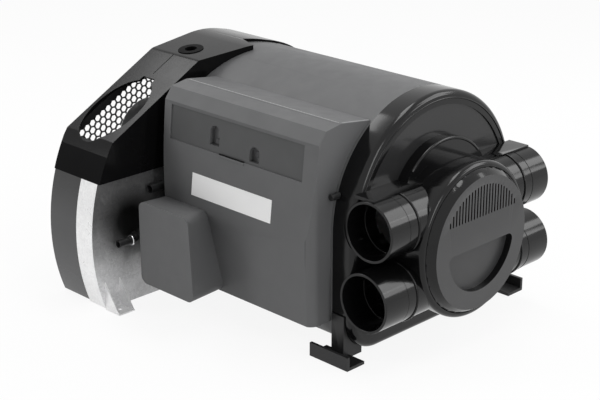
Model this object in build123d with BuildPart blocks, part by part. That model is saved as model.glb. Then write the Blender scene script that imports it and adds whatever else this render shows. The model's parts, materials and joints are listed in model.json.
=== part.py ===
from build123d import *
import math
import os

os.makedirs("parts", exist_ok=True)

# Caravan water heater that also warms air. Millimetres, +Z up, ground at Z = 0.
# +X is the outlet end with the round cover, -Y is the front with the control box.
# The drum axis runs along X. Heights are above the ground, and a distance named
# "back" is measured from the round cover's face towards the burner end.

# Driving sizes of the whole heater
length = 490.0
front_reach = 277.0
drum_radius = 148.0
rear_reach = drum_radius + 25.0
drum_height = 157.0
underside = drum_height - 150.5
shell_wall = 3.0
seat_gap = 0.3
overrun = 2.0

face_x = length / 2
axis_y = (front_reach - rear_reach) / 2

# Drum
drum_start_back = 105.0
bulkhead_back = length - 90.0
bulkhead_sheet = 1.5
drum_corner = 45.0

# End cap with its hub and outlets
cap_face_back = 72.0
cap_edge_round = 8.0
cap_recess_radius = drum_radius - 14.0
cap_recess_depth = 2.0
cap_recess_height = drum_height - 3.0
hub_radius = drum_radius - 50.0
hub_height = drum_height - 24.0
hub_front_back = 10.0
hub_edge_round = 6.0
hub_wall = 3.8
shoulder_radius = 83.0
shoulder_height = drum_height + 11.0
shoulder_depth = 13.0
outlet_radius = 37.0
outlet_bore_radius = 33.5
outlet_back = 50.0
upper_outlet_height = drum_height + 15.5
lower_outlet_height = drum_height - 71.0
upper_outlet_reach = 147.0
lower_outlet_reach = 154.0
socket_reach = 115.0
socket_wall = 2.0
sleeve_insert = 18.0
sleeve_play = 0.1
deck_top = drum_height + 55.0
deck_sheet = 4.0
deck_depth = 28.0
deck_inner = 50.0
deck_outer = drum_radius - 4.0

# Round cover
cover_radius = 91.0
cover_seat_depth = 6.0
cover_flat_radius = 84.0
cover_wall = 3.0
cover_gap = 0.4
louvre_radius = 73.0
louvre_foot = 34.0
louvre_width = 2.2
louvre_pitch = 5.5
recess_radius = 61.0
recess_top_drop = 3.0
recess_corner = 8.0
recess_depth = 9.0
lip_height = 4.2
lip_thick = 3.0
lug_count = 3
lug_angle = 22.0
lug_slot_angle = 30.0
lug_thick = 3.0
cover_turn_angle = 30.0

# Control box
box_right_back = 108.0
box_left_back = length - 111.0
box_front = 180.0
box_bottom = drum_height - 114.0
box_corner = 13.0
box_wall = 3.0
box_inner_y = 40.0
box_mid = (181.0, drum_height - 7.0)
box_brow = (168.0, drum_height + 111.0)
box_bevel = (157.0, drum_height + 126.0)
box_ridge = (132.0, drum_height + 130.0)
box_heel_y = 82.0
panel_bottom = drum_height + 63.0
panel_top = drum_height + 107.0
panel_right_back = 131.0
panel_left_back = box_left_back - 13.0
panel_depth = 1.6
pocket_backs = (box_left_back - 94.0, box_left_back - 165.0)
pocket_feet = (drum_height + 71.5, drum_height + 66.5)
pocket_heights = (25.0, 19.0)
pocket_width = 17.0
screw_height = drum_height + 76.0
pocket_depth = 9.0
pocket_wall = 2.0
pocket_foot = 3.0
box_post_radius = 5.0
box_post_long = 60.0
box_screw_radius = 2.0
box_screw_head = 3.8
box_screw_cap = 2.4
box_screw_long = 16.0
label_left_back = box_left_back - 60.0
label_right_back = label_left_back - 142.0
label_bottom = drum_height + 1.0
label_top = drum_height + 30.0
label_thick = 0.8

# Connection cover, the smaller box in front
small_front = 234.0
small_root = 178.0
small_bottom = drum_height - 113.0
small_top = drum_height - 3.0
small_root_top = drum_height - 14.0
small_front_backs = (box_left_back - 114.0, box_left_back - 21.0)
small_front_low_back = box_left_back - 121.0
small_root_backs = (box_left_back - 87.0, box_left_back - 2.0)
small_root_low_back = box_left_back - 119.0
small_corner = 10.0
small_wall = 2.5
wire_slot = (24.0, 8.0)
wire_slot_back = box_left_back - 57.0
wire_slot_height = drum_height - 41.0

# Burner end: bulkhead, hood and end cover
bulge_top = (247.0, drum_height + 56.0)
bulge_mid = (277.0, drum_height - 77.0)
bulge_foot = 260.0
shoulder_low = (241.0, drum_height + 65.0)
shoulder_high = (96.0, drum_height + 143.5)
hood_arch_radius = drum_radius + 5.5
hood_arch_y = -12.0
hood_arch_start_angle = 96.0
hood_arch_end_angle = 75.0
hood_arch_mid_angle = 86.0
hood_wall = 3.0
hood_right_back = length - 94.0
hood_seam = drum_height + 15.0
deck_tip = (length - 114.0, -18.0)
deck_notch = (length - 79.0, -5.0)
deck_tail = (length - 96.0, 45.0)
tongue_back = length - 75.0
tongue_from = -42.0
tongue_to = 18.0
hood_corner = 14.0
end_corner = 12.0
front_corner = 4.0
cover_sheet = 2.5
plate_play = 0.4
flange_depth = 33.0
flange_play = 0.2
oval_long = 58.5
oval_wide = 39.5
oval_drop = 114.5
oval_back = length - 45.0
oval_notch_wide = 23.0
oval_notch_long = 12.0
oval_notch_back = length - 46.0
grommet_radius = 15.0
grommet_flange = 2.0
grommet_bore = 8.0
grommet_back = length - 52.0
grommet_y = -73.0
grille_sheet = 2.0
grille_rim = 5.0
grille_pitch = 10.0
grille_hole = 8.4
grille_centre = (-134.0, drum_height + 61.0)
grille_wide = 178.0
grille_tall = 92.0
grille_tilt = 28.3
grille_corner = 16.0
tab_depth = 28.0
tab_front = 261.0
tab_width = 25.0
tab_height = underside + 31.5

# Feet at the outlet end
foot_backs = (59.4, 121.8)
foot_inner = 139.6
foot_outer = 169.2
foot_base = 4.0
foot_lip = 17.5
foot_lip_thick = 4.0
foot_post_backs = (84.0, 104.0)
foot_post_inner = 118.0
foot_post_outer = 150.0
foot_post_top = drum_height - 101.0
foot_hole_radius = 2.75

# Water tank around the heat exchanger
tank_backs = (136.0, length - 172.0)
tank_radius = drum_radius - 12.0
tank_bore_radius = 92.0
tank_sheet = 1.5
core_radius = 62.0
core_wall = 4.0
core_start_back = 126.0
fin_radius = 84.0
fin_thick = 3.0
fin_count = 24
strap_width = 16.0
strap_backs = (tank_backs[0] + 48.0, tank_backs[1] - 48.0)
strap_sheet = 1.2
cradle_width = 22.0
cradle_half = 62.0
cradle_top = drum_height - 97.0
rod_radius = 4.0
rod_length = tank_backs[1] - tank_backs[0] - 32.0
rod_angles = (235.0, 305.0)
tank_pitch_radius = 114.0
rod_head_radius = 11.0
rod_head_long = 16.0
sensor_radius = 3.0
sensor_length = 40.0
sensor_head_radius = 8.0
sensor_head_long = 14.0
sensor_angle = 60.0

# Burner
burner_radius = 30.0
burner_wall = 1.2
burner_start_back = length - 220.0
burner_hole_radius = 2.2
burner_hole_pitch = 18.0
burner_hole_rows = 5
burner_holes_round = 8
burner_port_radius = 33.0
burner_flange_radius = 38.0
burner_flange_sheet = 2.5
seal_thick = 2.0
manifold_half = 36.0
manifold_low = drum_height - 57.0
manifold_high = drum_height + 36.0
manifold_back = length - 44.0
manifold_wall = 2.0
igniter_radius = 3.0
igniter_start_back = length - 140.0
igniter_head_radius = 6.0
igniter_head_long = 16.0
igniter_rise = 48.0

# Warm-air fan in the hood
fan_y = -122.0
fan_height = drum_height + 35.0
fan_radius = 40.0
fan_blades = 24
fan_blade_long = 9.0
fan_blade_thick = 1.5
fan_wheel_depth = 27.0
fan_plate = 2.0
fan_end_gap = 3.0
fan_case_radius = 48.0
fan_case_wall = 2.5
fan_inlet_radius = 30.0
fan_duct_low = drum_height + 49.0
fan_duct_start = -64.0
fan_duct_end = -32.0
motor_radius = 34.0
motor_long = 34.5
shaft_radius = 3.0
shaft_play = 0.05
shaft_hole_radius = 10.0
boss_radius = 8.0
boss_long = 14.0
blade_lean = 25.0

# Combustion fan in the end cover
blower_y = -150.0
blower_height = drum_height - 72.0
blower_radius = 32.0
blower_blades = 16
blower_blade_long = 8.0
blower_wheel_depth = 18.0
blower_end_gap = 2.0
blower_case_radius = 40.0
blower_case_wall = 2.0
blower_inlet_radius = 20.0
blower_duct_low = drum_height - 54.0
blower_duct_start = -104.0
blower_motor_radius = 17.0
blower_motor_long = 18.5

# Gas, water and flue connections
gas_pipe_radius = 5.0
gas_pipe_bore = 4.0
gas_feed_radius = 3.0
gas_feed_back = length - 76.0
gas_y = -212.0
gas_height = drum_height - 67.0
gas_back = length - 102.0
gas_bend = 10.0
gas_reach = 246.0
gas_feed_rise = 18.0
gas_feed_height = gas_height + gas_feed_rise
valve_deep = 26.0
valve_wide = 34.0
valve_tall = 44.0
water_pipe_radius = 6.0
water_pipe_bore = 4.5
water_heights = (drum_height - 7.0, drum_height - 35.0)
water_tank_y = -108.0
water_back = length - 100.5
water_insert = 8.0
water_bend = 14.0
water_reach = 190.0
water_nut_radius = 9.0
water_nut_long = 9.0
pipe_grip = 20.0
bead_high = 1.2
bead_wide = 2.0
flue_radius = 27.5
air_radius = 32.5
spigot_wall = 1.5
spigot_grip = 19.0
spigot_back = length - 50.0
flue_height = drum_height - 107.0
air_height = drum_height - 37.0
spigot_flange = 4.0
spigot_flange_thick = 2.5
air_spigot_start = 90.0
collector_inner = 40.0
collector_outer = 62.0
collector_low = drum_height - 139.0
collector_high = drum_height + 20.0
collector_back = length - 18.0
flue_port = (43.0, 55.0)
flue_port_half = 18.0

# Electronics in the control box
board_backs = (150.0, box_left_back - 39.0)
board_bottom = drum_height - 81.0
board_top = drum_height + 39.0
board_thick = 1.6
board_y = 158.0
board_margin = 12.0
spacer_heights = (drum_height - 67.0, drum_height - 7.0)
spacer_radius = 3.5
relay_size = (19.0, 14.0, 15.5)
relay_pitch = 24.0
relay_first_back = board_backs[0] + 50.0
relay_height = drum_height - 37.0
relay_count = 3
terminal_size = (50.0, 12.0, 20.0)
terminal_back = box_left_back - 57.0
terminal_height = drum_height - 65.0
stud_radius = 4.0
stud_back = 103.0
stud_height = drum_height + 46.0
stud_reach = 154.0
stud_share = 0.8
foot_hole_inset = 31.2
nut_sides = 6
comb_sides = 6
full_turn = 360.0
quarter_turn = full_turn / 4
comb_half_angle = full_turn / comb_sides / 2


def at(back):
    """X of a plane that lies this far behind the round cover's face."""
    return face_x - back


def section(back):
    """Cross plane: local x is Y from the drum axis, local y is the height."""
    return Plane(origin=(at(back), axis_y, 0), x_dir=(0, 1, 0), z_dir=(1, 0, 0))


def side(y):
    """Plane that faces +Y, y from the drum axis: local x is -X, local y is height."""
    return Plane(origin=(0, axis_y + y, 0), x_dir=(-1, 0, 0), z_dir=(0, 1, 0))


def save(node, name):
    node.part.label = name
    export_step(node.part, f"parts/{name}.step")


def arch(radius, height, foot, corner):
    """Closed arch outline: round on top, straight flanks, flat bottom."""
    with BuildLine() as line:
        Line((radius, foot), (radius, height))
        ThreePointArc((radius, height), (0, height + radius), (-radius, height))
        Line((-radius, height), (-radius, foot))
        Line((-radius, foot), (radius, foot))
    with BuildSketch(Plane.XY) as outline:
        add(line.line)
        make_face()
        low = outline.vertices().group_by(Axis.Y)[0]
        fillet(low, corner)
    return outline.sketch


def arch_point(angle):
    """Point of the hood's crown arc, as (y, height)."""
    turn = math.radians(angle)
    return (hood_arch_y + hood_arch_radius * math.cos(turn), drum_height + hood_arch_radius * math.sin(turn))


arch_start = arch_point(hood_arch_start_angle)
arch_mid = arch_point(hood_arch_mid_angle)
arch_end = arch_point(hood_arch_end_angle)
rear_flank = math.hypot(arch_end[0], arch_end[1] - drum_height)
rear_half_angle = math.atan2(arch_end[1] - drum_height, arch_end[0]) / 2
rear_mid = (rear_flank * math.cos(rear_half_angle), drum_height + rear_flank * math.sin(rear_half_angle))


def end_outline():
    """Outline of the burner end, from the front bulge over the arch to the rear flank."""
    with BuildLine() as line:
        ThreePointArc((-bulge_foot, 0), (-bulge_mid[0], bulge_mid[1]), (-bulge_top[0], bulge_top[1]))
        Line((-bulge_top[0], bulge_top[1]), (-shoulder_low[0], shoulder_low[1]))
        Line((-shoulder_low[0], shoulder_low[1]), (-shoulder_high[0], shoulder_high[1]))
        Line((-shoulder_high[0], shoulder_high[1]), arch_start)
        ThreePointArc(arch_start, arch_mid, arch_end)
        ThreePointArc(arch_end, rear_mid, (rear_flank, drum_height))
        Line((rear_flank, drum_height), (rear_flank, 0))
        Line((rear_flank, 0), (-bulge_foot, 0))
    with BuildSketch(Plane.XY) as outline:
        add(line.line)
        make_face()
        for place, radius in (
            ((-shoulder_high[0], shoulder_high[1], 0), hood_corner),
            ((-shoulder_low[0], shoulder_low[1], 0), hood_corner / 3),
            ((-bulge_foot, 0, 0), front_corner),
            ((rear_flank, 0, 0), end_corner),
        ):
            corner = outline.vertices().sort_by_distance(place)[0]
            fillet(corner, radius)
    return outline.sketch


def shrink(sketch, amount):
    """The same outline, moved inwards by amount."""
    if not amount:
        return sketch
    with BuildSketch(Plane.XY) as smaller:
        add(sketch)
        offset(amount=-amount, kind=Kind.ARC)
    return smaller.sketch


def stretch(sketch, front_back, rear_back):
    """Solid of an outline between two distances behind the face."""
    with BuildPart() as solid:
        with BuildSketch(section(rear_back)):
            add(sketch)
        extrude(amount=rear_back - front_back)
    return solid.part


def round_bar(radius, front_back, rear_back, y, height):
    """Round bar along X at a place across the drum."""
    with BuildPart() as bar:
        with BuildSketch(section(rear_back)):
            with Locations((y, height)):
                Circle(radius)
        extrude(amount=rear_back - front_back)
    return bar.part


def cross_bar(radius, back, height, y_from, y_to):
    """Round bar along Y between two places from the drum axis."""
    low = min(y_from, y_to)
    with BuildPart() as bar:
        with BuildSketch(side(low)):
            with Locations((-at(back), height)):
                Circle(radius)
        extrude(amount=abs(y_to - y_from))
    return bar.part


def block(backs, ys, heights):
    """Box between two backs, two places across and two heights."""
    with BuildPart() as solid:
        with BuildSketch(Plane.XY.offset(heights[0])):
            with Locations((at((backs[0] + backs[1]) / 2), axis_y + (ys[0] + ys[1]) / 2)):
                Rectangle(abs(backs[1] - backs[0]), abs(ys[1] - ys[0]))
        extrude(amount=heights[1] - heights[0])
    return solid.part


def slope(start, end):
    """Plane on a sloping face: local x is X, local y runs from start to end (y, height)."""
    run = math.hypot(end[0] - start[0], end[1] - start[1])
    along_y = (end[0] - start[0]) / run
    along_z = (end[1] - start[1]) / run
    return Plane(origin=(0, axis_y + start[0], start[1]), x_dir=(1, 0, 0), z_dir=(0, -along_z, along_y))


def turned(points, y, height):
    """Solid turned about a line along X; its outline is a list of (back, radius)."""
    with BuildPart() as solid:
        with BuildSketch(Plane(origin=(face_x, axis_y + y, height), x_dir=(-1, 0, 0), z_dir=(0, 1, 0))):
            with BuildLine():
                Polyline(*points, close=True)
            make_face()
        revolve(axis=Axis((face_x, axis_y + y, height), (1, 0, 0)))
    return solid.part


def ring_sectors(inner, outer, front_back, rear_back, angle, turned_by):
    """Equal sectors of a ring around the hub axis, each as wide as angle."""
    half = math.radians(angle / 2)
    with BuildSketch(Plane.XY) as sector:
        with BuildLine():
            low_in = (inner * math.cos(half), -inner * math.sin(half))
            low_out = (outer * math.cos(half), -outer * math.sin(half))
            high_out = (outer * math.cos(half), outer * math.sin(half))
            high_in = (inner * math.cos(half), inner * math.sin(half))
            Line(low_in, low_out)
            ThreePointArc(low_out, (outer, 0), high_out)
            Line(high_out, high_in)
            ThreePointArc(high_in, (inner, 0), low_in)
        make_face()
    with BuildPart() as sectors:
        with BuildSketch(section(rear_back)):
            with Locations((0, hub_height)):
                with PolarLocations(0, lug_count, start_angle=turned_by + quarter_turn):
                    add(sector.sketch)
        extrude(amount=rear_back - front_back)
    return sectors.part


def bent_pipe(radius, points, bend):
    """Round bar along a path of (back, y, height) points with one bend radius."""
    with BuildPart() as pipe:
        with BuildLine() as path:
            FilletPolyline(*[(at(back), axis_y + y, height) for back, y, height in points], radius=bend)
        with BuildSketch(Plane(origin=path.line @ 0, z_dir=path.line % 0)):
            Circle(radius)
        sweep(path=path.line)
    return pipe.part


def fan_case(radius, wall, inlet, backs, y, height, duct_low, duct_y):
    """Round fan case with an inlet on the burner side and an outlet towards +Y."""
    start, end = backs
    with BuildPart() as case:
        add(round_bar(radius, start, end, y, height))
        add(block(backs, (y, duct_y), (duct_low, height + radius)))
        add(round_bar(radius - wall, start + wall, end - wall, y, height), mode=Mode.SUBTRACT)
        add(block((start + wall, end - wall), (y, duct_y + overrun),
                  (duct_low + wall, height + radius - wall)), mode=Mode.SUBTRACT)
        add(round_bar(inlet, end - wall - overrun, end + overrun, y, height), mode=Mode.SUBTRACT)
        add(round_bar(shaft_hole_radius, start - overrun, start + wall + overrun, y, height),
            mode=Mode.SUBTRACT)
    return case.part


def fan_wheel(radius, blades, blade_long, backs, y, height):
    """Fan wheel: a plate with a bored boss, a ring of leaning blades and a front ring."""
    start, end = backs
    with BuildPart() as wheel:
        add(round_bar(radius, start, start + fan_plate, y, height))
        add(round_bar(boss_radius, start, start + boss_long, y, height))
        with BuildSketch(section(end)):
            with Locations((y, height)):
                Circle(radius)
                Circle(radius - blade_long, mode=Mode.SUBTRACT)
        extrude(amount=fan_plate)
        with BuildSketch(section(end)):
            with Locations((y, height)):
                with PolarLocations(radius - blade_long / 2, blades):
                    Rectangle(blade_long, fan_blade_thick, rotation=blade_lean)
        extrude(amount=end - start)
        add(round_bar(shaft_radius + shaft_play, start - overrun, end + overrun, y, height),
            mode=Mode.SUBTRACT)
    return wheel.part


# Drum cover: the grey arched shell between the end cap and the bulkhead
drum_outline = arch(drum_radius, drum_height, underside, drum_corner)
drum_inside = shrink(drum_outline, shell_wall)
drum_split = drum_height / 2
brow = slope((-box_mid[0], box_mid[1]), (-box_brow[0], box_brow[1]))
brow_stretch = math.hypot(box_brow[0] - box_mid[0], box_brow[1] - box_mid[1]) / (box_brow[1] - box_mid[1])
screw_rise = (screw_height - box_mid[1]) * brow_stretch
with BuildPart() as tongue_shell:
    add(stretch(drum_outline, bulkhead_back, tongue_back))
    add(stretch(drum_inside, bulkhead_back - overrun, tongue_back + overrun), mode=Mode.SUBTRACT)
    add(block((bulkhead_back, tongue_back), (tongue_from, tongue_to),
              (2 * drum_radius - underside, 2 * drum_height)), mode=Mode.INTERSECT)
tongue = tongue_shell.part
with BuildPart() as drum_cover:
    add(stretch(drum_outline, drum_start_back, bulkhead_back))
    add(stretch(drum_inside, drum_start_back - overrun, bulkhead_back + overrun), mode=Mode.SUBTRACT)
    with BuildSketch(Plane.XY):
        with Locations((at((drum_start_back + bulkhead_back) / 2), axis_y)):
            Rectangle(2 * (bulkhead_back - drum_start_back), 4 * drum_radius)
    extrude(amount=drum_split, mode=Mode.SUBTRACT)
    # tongue under the hood's notch at the crown
    add(tongue)
    # posts that the control box screws bite into
    with BuildSketch(brow.offset(-(pocket_depth + pocket_foot + seat_gap))):
        for pocket_back in pocket_backs:
            with Locations((at(pocket_back), screw_rise)):
                Circle(box_post_radius)
    extrude(amount=-box_post_long)
    add(stretch(drum_inside, drum_start_back, bulkhead_back), mode=Mode.SUBTRACT)
    with BuildSketch(brow.offset(overrun)):
        for pocket_back in pocket_backs:
            with Locations((at(pocket_back), screw_rise)):
                Circle(box_screw_radius + seat_gap)
    extrude(amount=-(pocket_depth + box_screw_long + 2 * overrun), mode=Mode.SUBTRACT)
    for height in water_heights:
        add(cross_bar(water_pipe_radius + seat_gap, water_back, height, -water_reach, -tank_radius),
            mode=Mode.SUBTRACT)
save(drum_cover, "drum_cover")

# Drum tray: the lower half of the same shell
with BuildPart() as drum_tray:
    add(stretch(drum_outline, drum_start_back, bulkhead_back))
    add(stretch(drum_inside, drum_start_back - overrun, bulkhead_back + overrun), mode=Mode.SUBTRACT)
    with BuildSketch(Plane.XY.offset(drum_split)):
        with Locations((at((drum_start_back + bulkhead_back) / 2), axis_y)):
            Rectangle(2 * (bulkhead_back - drum_start_back), 4 * drum_radius)
    extrude(amount=2 * drum_height, mode=Mode.SUBTRACT)
save(drum_tray, "drum_tray")

# End cap: black air distributor with the hub and four outlet sockets
cap_outline = arch(drum_radius, drum_height, underside, drum_corner)
socket_bore = outlet_radius - socket_wall
hub_bore = hub_radius - hub_wall
lip_radius = hub_bore - lip_height
lip_back = hub_front_back + cover_seat_depth
socket_rows = (
    (upper_outlet_height, upper_outlet_reach),
    (lower_outlet_height, lower_outlet_reach),
)
with BuildPart() as end_cap:
    with BuildSketch(section(drum_start_back)):
        add(cap_outline)
    extrude(amount=drum_start_back - cap_face_back)
    front_face = end_cap.faces().sort_by(Axis.X)[-1]
    fillet(front_face.edges(), cap_edge_round)
    with BuildSketch(section(cap_face_back)):
        with Locations((0, cap_recess_height)):
            Circle(cap_recess_radius)
        with Locations((0, 0)):
            Rectangle(4 * drum_radius, 2 * cap_recess_height, mode=Mode.SUBTRACT)
    extrude(amount=-cap_recess_depth, mode=Mode.SUBTRACT)
    with BuildSketch(section(cap_face_back + cap_recess_depth)):
        with Locations((0, shoulder_height)):
            Circle(shoulder_radius)
    extrude(amount=shoulder_depth + cap_recess_depth)
    add(round_bar(hub_radius, hub_front_back, cap_face_back + cap_recess_depth, 0, hub_height))
    hub_rim = end_cap.edges().filter_by(GeomType.CIRCLE).sort_by(Axis.X)[-1]
    fillet(hub_rim, hub_edge_round)
    for height, reach in socket_rows:
        for way in (-1, 1):
            add(cross_bar(outlet_radius, outlet_back, height, 0, way * socket_reach))
    for way in (-1, 1):
        add(block(
            (cap_face_back - deck_depth, cap_face_back + cap_recess_depth),
            (way * deck_inner, way * deck_outer),
            (deck_top - deck_sheet, deck_top),
        ))
    # the hollow inside
    add(stretch(shrink(cap_outline, shell_wall), cap_face_back + cap_recess_depth + shell_wall,
                drum_start_back + overrun), mode=Mode.SUBTRACT)
    add(round_bar(lip_radius, hub_front_back - overrun, drum_start_back, 0, hub_height), mode=Mode.SUBTRACT)
    add(round_bar(hub_bore, lip_back + lip_thick, drum_start_back, 0, hub_height), mode=Mode.SUBTRACT)
    add(round_bar(cover_radius + cover_gap, hub_front_back - overrun, lip_back, 0, hub_height),
        mode=Mode.SUBTRACT)
    add(ring_sectors(lip_radius - overrun, hub_bore, lip_back, lip_back + lip_thick,
                     lug_slot_angle, cover_turn_angle), mode=Mode.SUBTRACT)
    for height, reach in socket_rows:
        for way in (-1, 1):
            add(cross_bar(socket_bore, outlet_back, height, 0, way * (socket_reach + overrun)),
                mode=Mode.SUBTRACT)
            add(cross_bar(outlet_radius + seat_gap, outlet_back, height, way * socket_reach,
                          way * (reach + overrun)), mode=Mode.SUBTRACT)
save(end_cap, "end_cap")

# Outlet sleeves: the pipe ends that the warm-air ducts push into
for height, reach in socket_rows:
    for way in (-1, 1):
        row_name = "upper" if height == upper_outlet_height else "lower"
        side_name = "front" if way < 0 else "rear"
        with BuildPart() as sleeve:
            add(cross_bar(outlet_radius, outlet_back, height, way * socket_reach, way * reach))
            add(cross_bar(socket_bore - sleeve_play, outlet_back, height,
                          way * (socket_reach - sleeve_insert), way * socket_reach))
            add(cross_bar(outlet_bore_radius, outlet_back, height,
                          way * (socket_reach - sleeve_insert - overrun), way * (reach + overrun)),
                mode=Mode.SUBTRACT)
        save(sleeve, f"outlet_sleeve_{side_name}_{row_name}")

# Round cover: turns in the hub like a bayonet, with louvres and a finger recess
skirt_radius = lip_radius - cover_gap
skirt_back = lip_back + lip_thick + cover_gap + lug_thick
rim_back = lip_back - cover_gap
half_chord = math.sqrt(louvre_radius ** 2 - louvre_foot ** 2)
louvre_steps = int(half_chord / louvre_pitch)
with BuildSketch(Plane.XY) as half_moon:
    Circle(recess_radius)
    with Locations((0, recess_radius - recess_top_drop)):
        Rectangle(4 * recess_radius, 2 * recess_radius, mode=Mode.SUBTRACT)
    fillet(half_moon.vertices(), recess_corner)
with BuildPart() as round_cover:
    add(turned([
        (0, 0),
        (0, cover_flat_radius),
        (hub_front_back, cover_radius),
        (rim_back, cover_radius),
        (rim_back, skirt_radius),
        (skirt_back, skirt_radius),
        (skirt_back, skirt_radius - cover_wall),
        (hub_front_back, skirt_radius - cover_wall),
        (cover_wall, cover_flat_radius - cover_wall),
        (cover_wall, 0),
    ], 0, hub_height))
    add(ring_sectors(skirt_radius - cover_wall / 2, hub_bore - cover_gap, skirt_back - lug_thick, skirt_back,
                     lug_angle, 0))
    with BuildSketch(section(recess_depth + cover_wall)):
        with Locations((0, hub_height)):
            add(half_moon.sketch)
            offset(amount=cover_wall)
    extrude(amount=recess_depth + cover_wall)
    with BuildSketch(section(recess_depth)):
        with Locations((0, hub_height)):
            add(half_moon.sketch)
    extrude(amount=recess_depth + overrun, mode=Mode.SUBTRACT)
    with BuildSketch(section(cover_wall + overrun)):
        for step in range(-louvre_steps, louvre_steps + 1):
            across = step * louvre_pitch
            top = math.sqrt(louvre_radius ** 2 - across ** 2)
            with Locations((across, hub_height + (louvre_foot + top) / 2)):
                Rectangle(louvre_width, top - louvre_foot)
    extrude(amount=cover_wall + 2 * overrun, mode=Mode.SUBTRACT)
save(round_cover, "round_cover")

# Control box cover: grey shell on the front of the drum, open towards the drum
drum_clear = shrink(drum_outline, -seat_gap)
box_points = [
    (-box_inner_y, box_bottom),
    (-box_front, box_bottom),
    (-box_mid[0], box_mid[1]),
    (-box_brow[0], box_brow[1]),
    (-box_bevel[0], box_bevel[1]),
    (-box_ridge[0], box_ridge[1]),
    (-box_heel_y, drum_height + math.sqrt(drum_radius ** 2 - box_heel_y ** 2)),
    (-box_inner_y, drum_height + math.sqrt(drum_radius ** 2 - box_heel_y ** 2)),
]
with BuildSketch(Plane.XY) as box_profile:
    with BuildLine():
        Polyline(*box_points, close=True)
    make_face()
box_middle = (box_right_back + box_left_back) / 2
box_long = box_left_back - box_right_back


def box_form(inset):
    """Control box form, set in from the outside by inset, with round vertical corners."""
    with BuildSketch(Plane.XY) as plan:
        with Locations((at(box_middle), axis_y - box_mid[0] / 2)):
            Rectangle(box_long - 2 * inset, box_mid[0] - 2 * inset)
        fillet(plan.vertices().group_by(Axis.Y)[0], box_corner - inset)
    with BuildPart() as form:
        add(stretch(shrink(box_profile.sketch, inset), box_right_back + inset, box_left_back - inset))
        with BuildSketch(Plane.XY):
            add(plan.sketch)
        extrude(amount=2 * drum_height, mode=Mode.INTERSECT)
    return form.part


def pocket_sketch(growth):
    """Arched outlines of both screw pockets on the brow face, grown by growth."""
    with BuildSketch(Plane.XY) as pockets:
        for pocket_back, pocket_low, pocket_tall in zip(pocket_backs, pocket_feet, pocket_heights):
            foot = (pocket_low - box_mid[1]) * brow_stretch
            crown = foot + pocket_tall - pocket_width / 2
            with Locations((at(pocket_back), (foot + crown) / 2)):
                Rectangle(pocket_width + 2 * growth, crown - foot + 2 * growth)
            with Locations((at(pocket_back), crown)):
                Circle(pocket_width / 2 + growth)
    return pockets.sketch


with BuildPart() as control_box_cover:
    add(box_form(0))
    add(box_form(box_wall), mode=Mode.SUBTRACT)
    with BuildSketch(brow):
        add(pocket_sketch(pocket_wall))
    extrude(amount=-(pocket_depth + pocket_foot))
    with BuildSketch(brow):
        with Locations((at((panel_right_back + panel_left_back) / 2),
                        ((panel_bottom + panel_top) / 2 - box_mid[1]) * brow_stretch)):
            Rectangle(panel_left_back - panel_right_back, (panel_top - panel_bottom) * brow_stretch)
    extrude(amount=-panel_depth, mode=Mode.SUBTRACT)
    with BuildSketch(brow.offset(overrun)):
        add(pocket_sketch(0))
    extrude(amount=-(pocket_depth + overrun), mode=Mode.SUBTRACT)
    with BuildSketch(brow.offset(overrun)):
        for pocket_back in pocket_backs:
            with Locations((at(pocket_back), screw_rise)):
                Circle(box_screw_radius + seat_gap)
    extrude(amount=-(pocket_depth + pocket_foot + 2 * overrun), mode=Mode.SUBTRACT)
    with BuildSketch(side(-box_front - box_wall)):
        with Locations((-at(wire_slot_back), wire_slot_height)):
            Rectangle(wire_slot[0], wire_slot[1])
    extrude(amount=3 * box_wall, mode=Mode.SUBTRACT)
    add(stretch(drum_clear, box_right_back - overrun, box_left_back + overrun), mode=Mode.SUBTRACT)
save(control_box_cover, "control_box_cover")

# Two screws in the arched pockets, each with its thread in a post of the drum cover
with BuildPart() as control_box_screws:
    with BuildSketch(brow.offset(-pocket_depth)):
        for pocket_back in pocket_backs:
            with Locations((at(pocket_back), screw_rise)):
                Circle(box_screw_head)
    extrude(amount=box_screw_cap)
    with BuildSketch(brow.offset(-pocket_depth)):
        for pocket_back in pocket_backs:
            with Locations((at(pocket_back), screw_rise)):
                Circle(box_screw_radius)
    extrude(amount=-box_screw_long)
save(control_box_screws, "control_box_screws")

# Bare label plate on the control box
with BuildPart() as label_plate:
    with BuildSketch(brow):
        with Locations((at((label_right_back + label_left_back) / 2),
                        ((label_bottom + label_top) / 2 - box_mid[1]) * brow_stretch)):
            Rectangle(label_left_back - label_right_back, label_top - label_bottom)
    extrude(amount=label_thick)
save(label_plate, "label_plate")


def small_form(inset):
    """Connection cover form, a tapered box from its front face back to the control box."""
    with BuildPart() as form:
        with BuildSketch(side(-small_front + inset)):
            with BuildLine():
                Polyline(
                    (-at(small_front_low_back), small_bottom),
                    (-at(small_front_backs[1]), small_bottom),
                    (-at(small_front_backs[1]), small_top),
                    (-at(small_front_backs[0]), small_top),
                    close=True,
                )
            make_face()
            fillet(vertices(), small_corner)
            if inset:
                offset(amount=-inset)
        with BuildSketch(side(-small_root)):
            with BuildLine():
                Polyline(
                    (-at(small_root_low_back), small_bottom),
                    (-at(small_root_backs[1]), small_bottom),
                    (-at(small_root_backs[1]), small_root_top),
                    (-at(small_root_backs[0]), small_root_top),
                    close=True,
                )
            make_face()
            fillet(vertices(), small_corner)
            if inset:
                offset(amount=-inset)
        loft(ruled=True)
    return form.part


# Connection cover: small tapered box over the terminals
with BuildPart() as connection_cover:
    add(small_form(0))
    add(small_form(small_wall), mode=Mode.SUBTRACT)
    add(box_form(0), mode=Mode.SUBTRACT)
save(connection_cover, "connection_cover")

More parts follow.
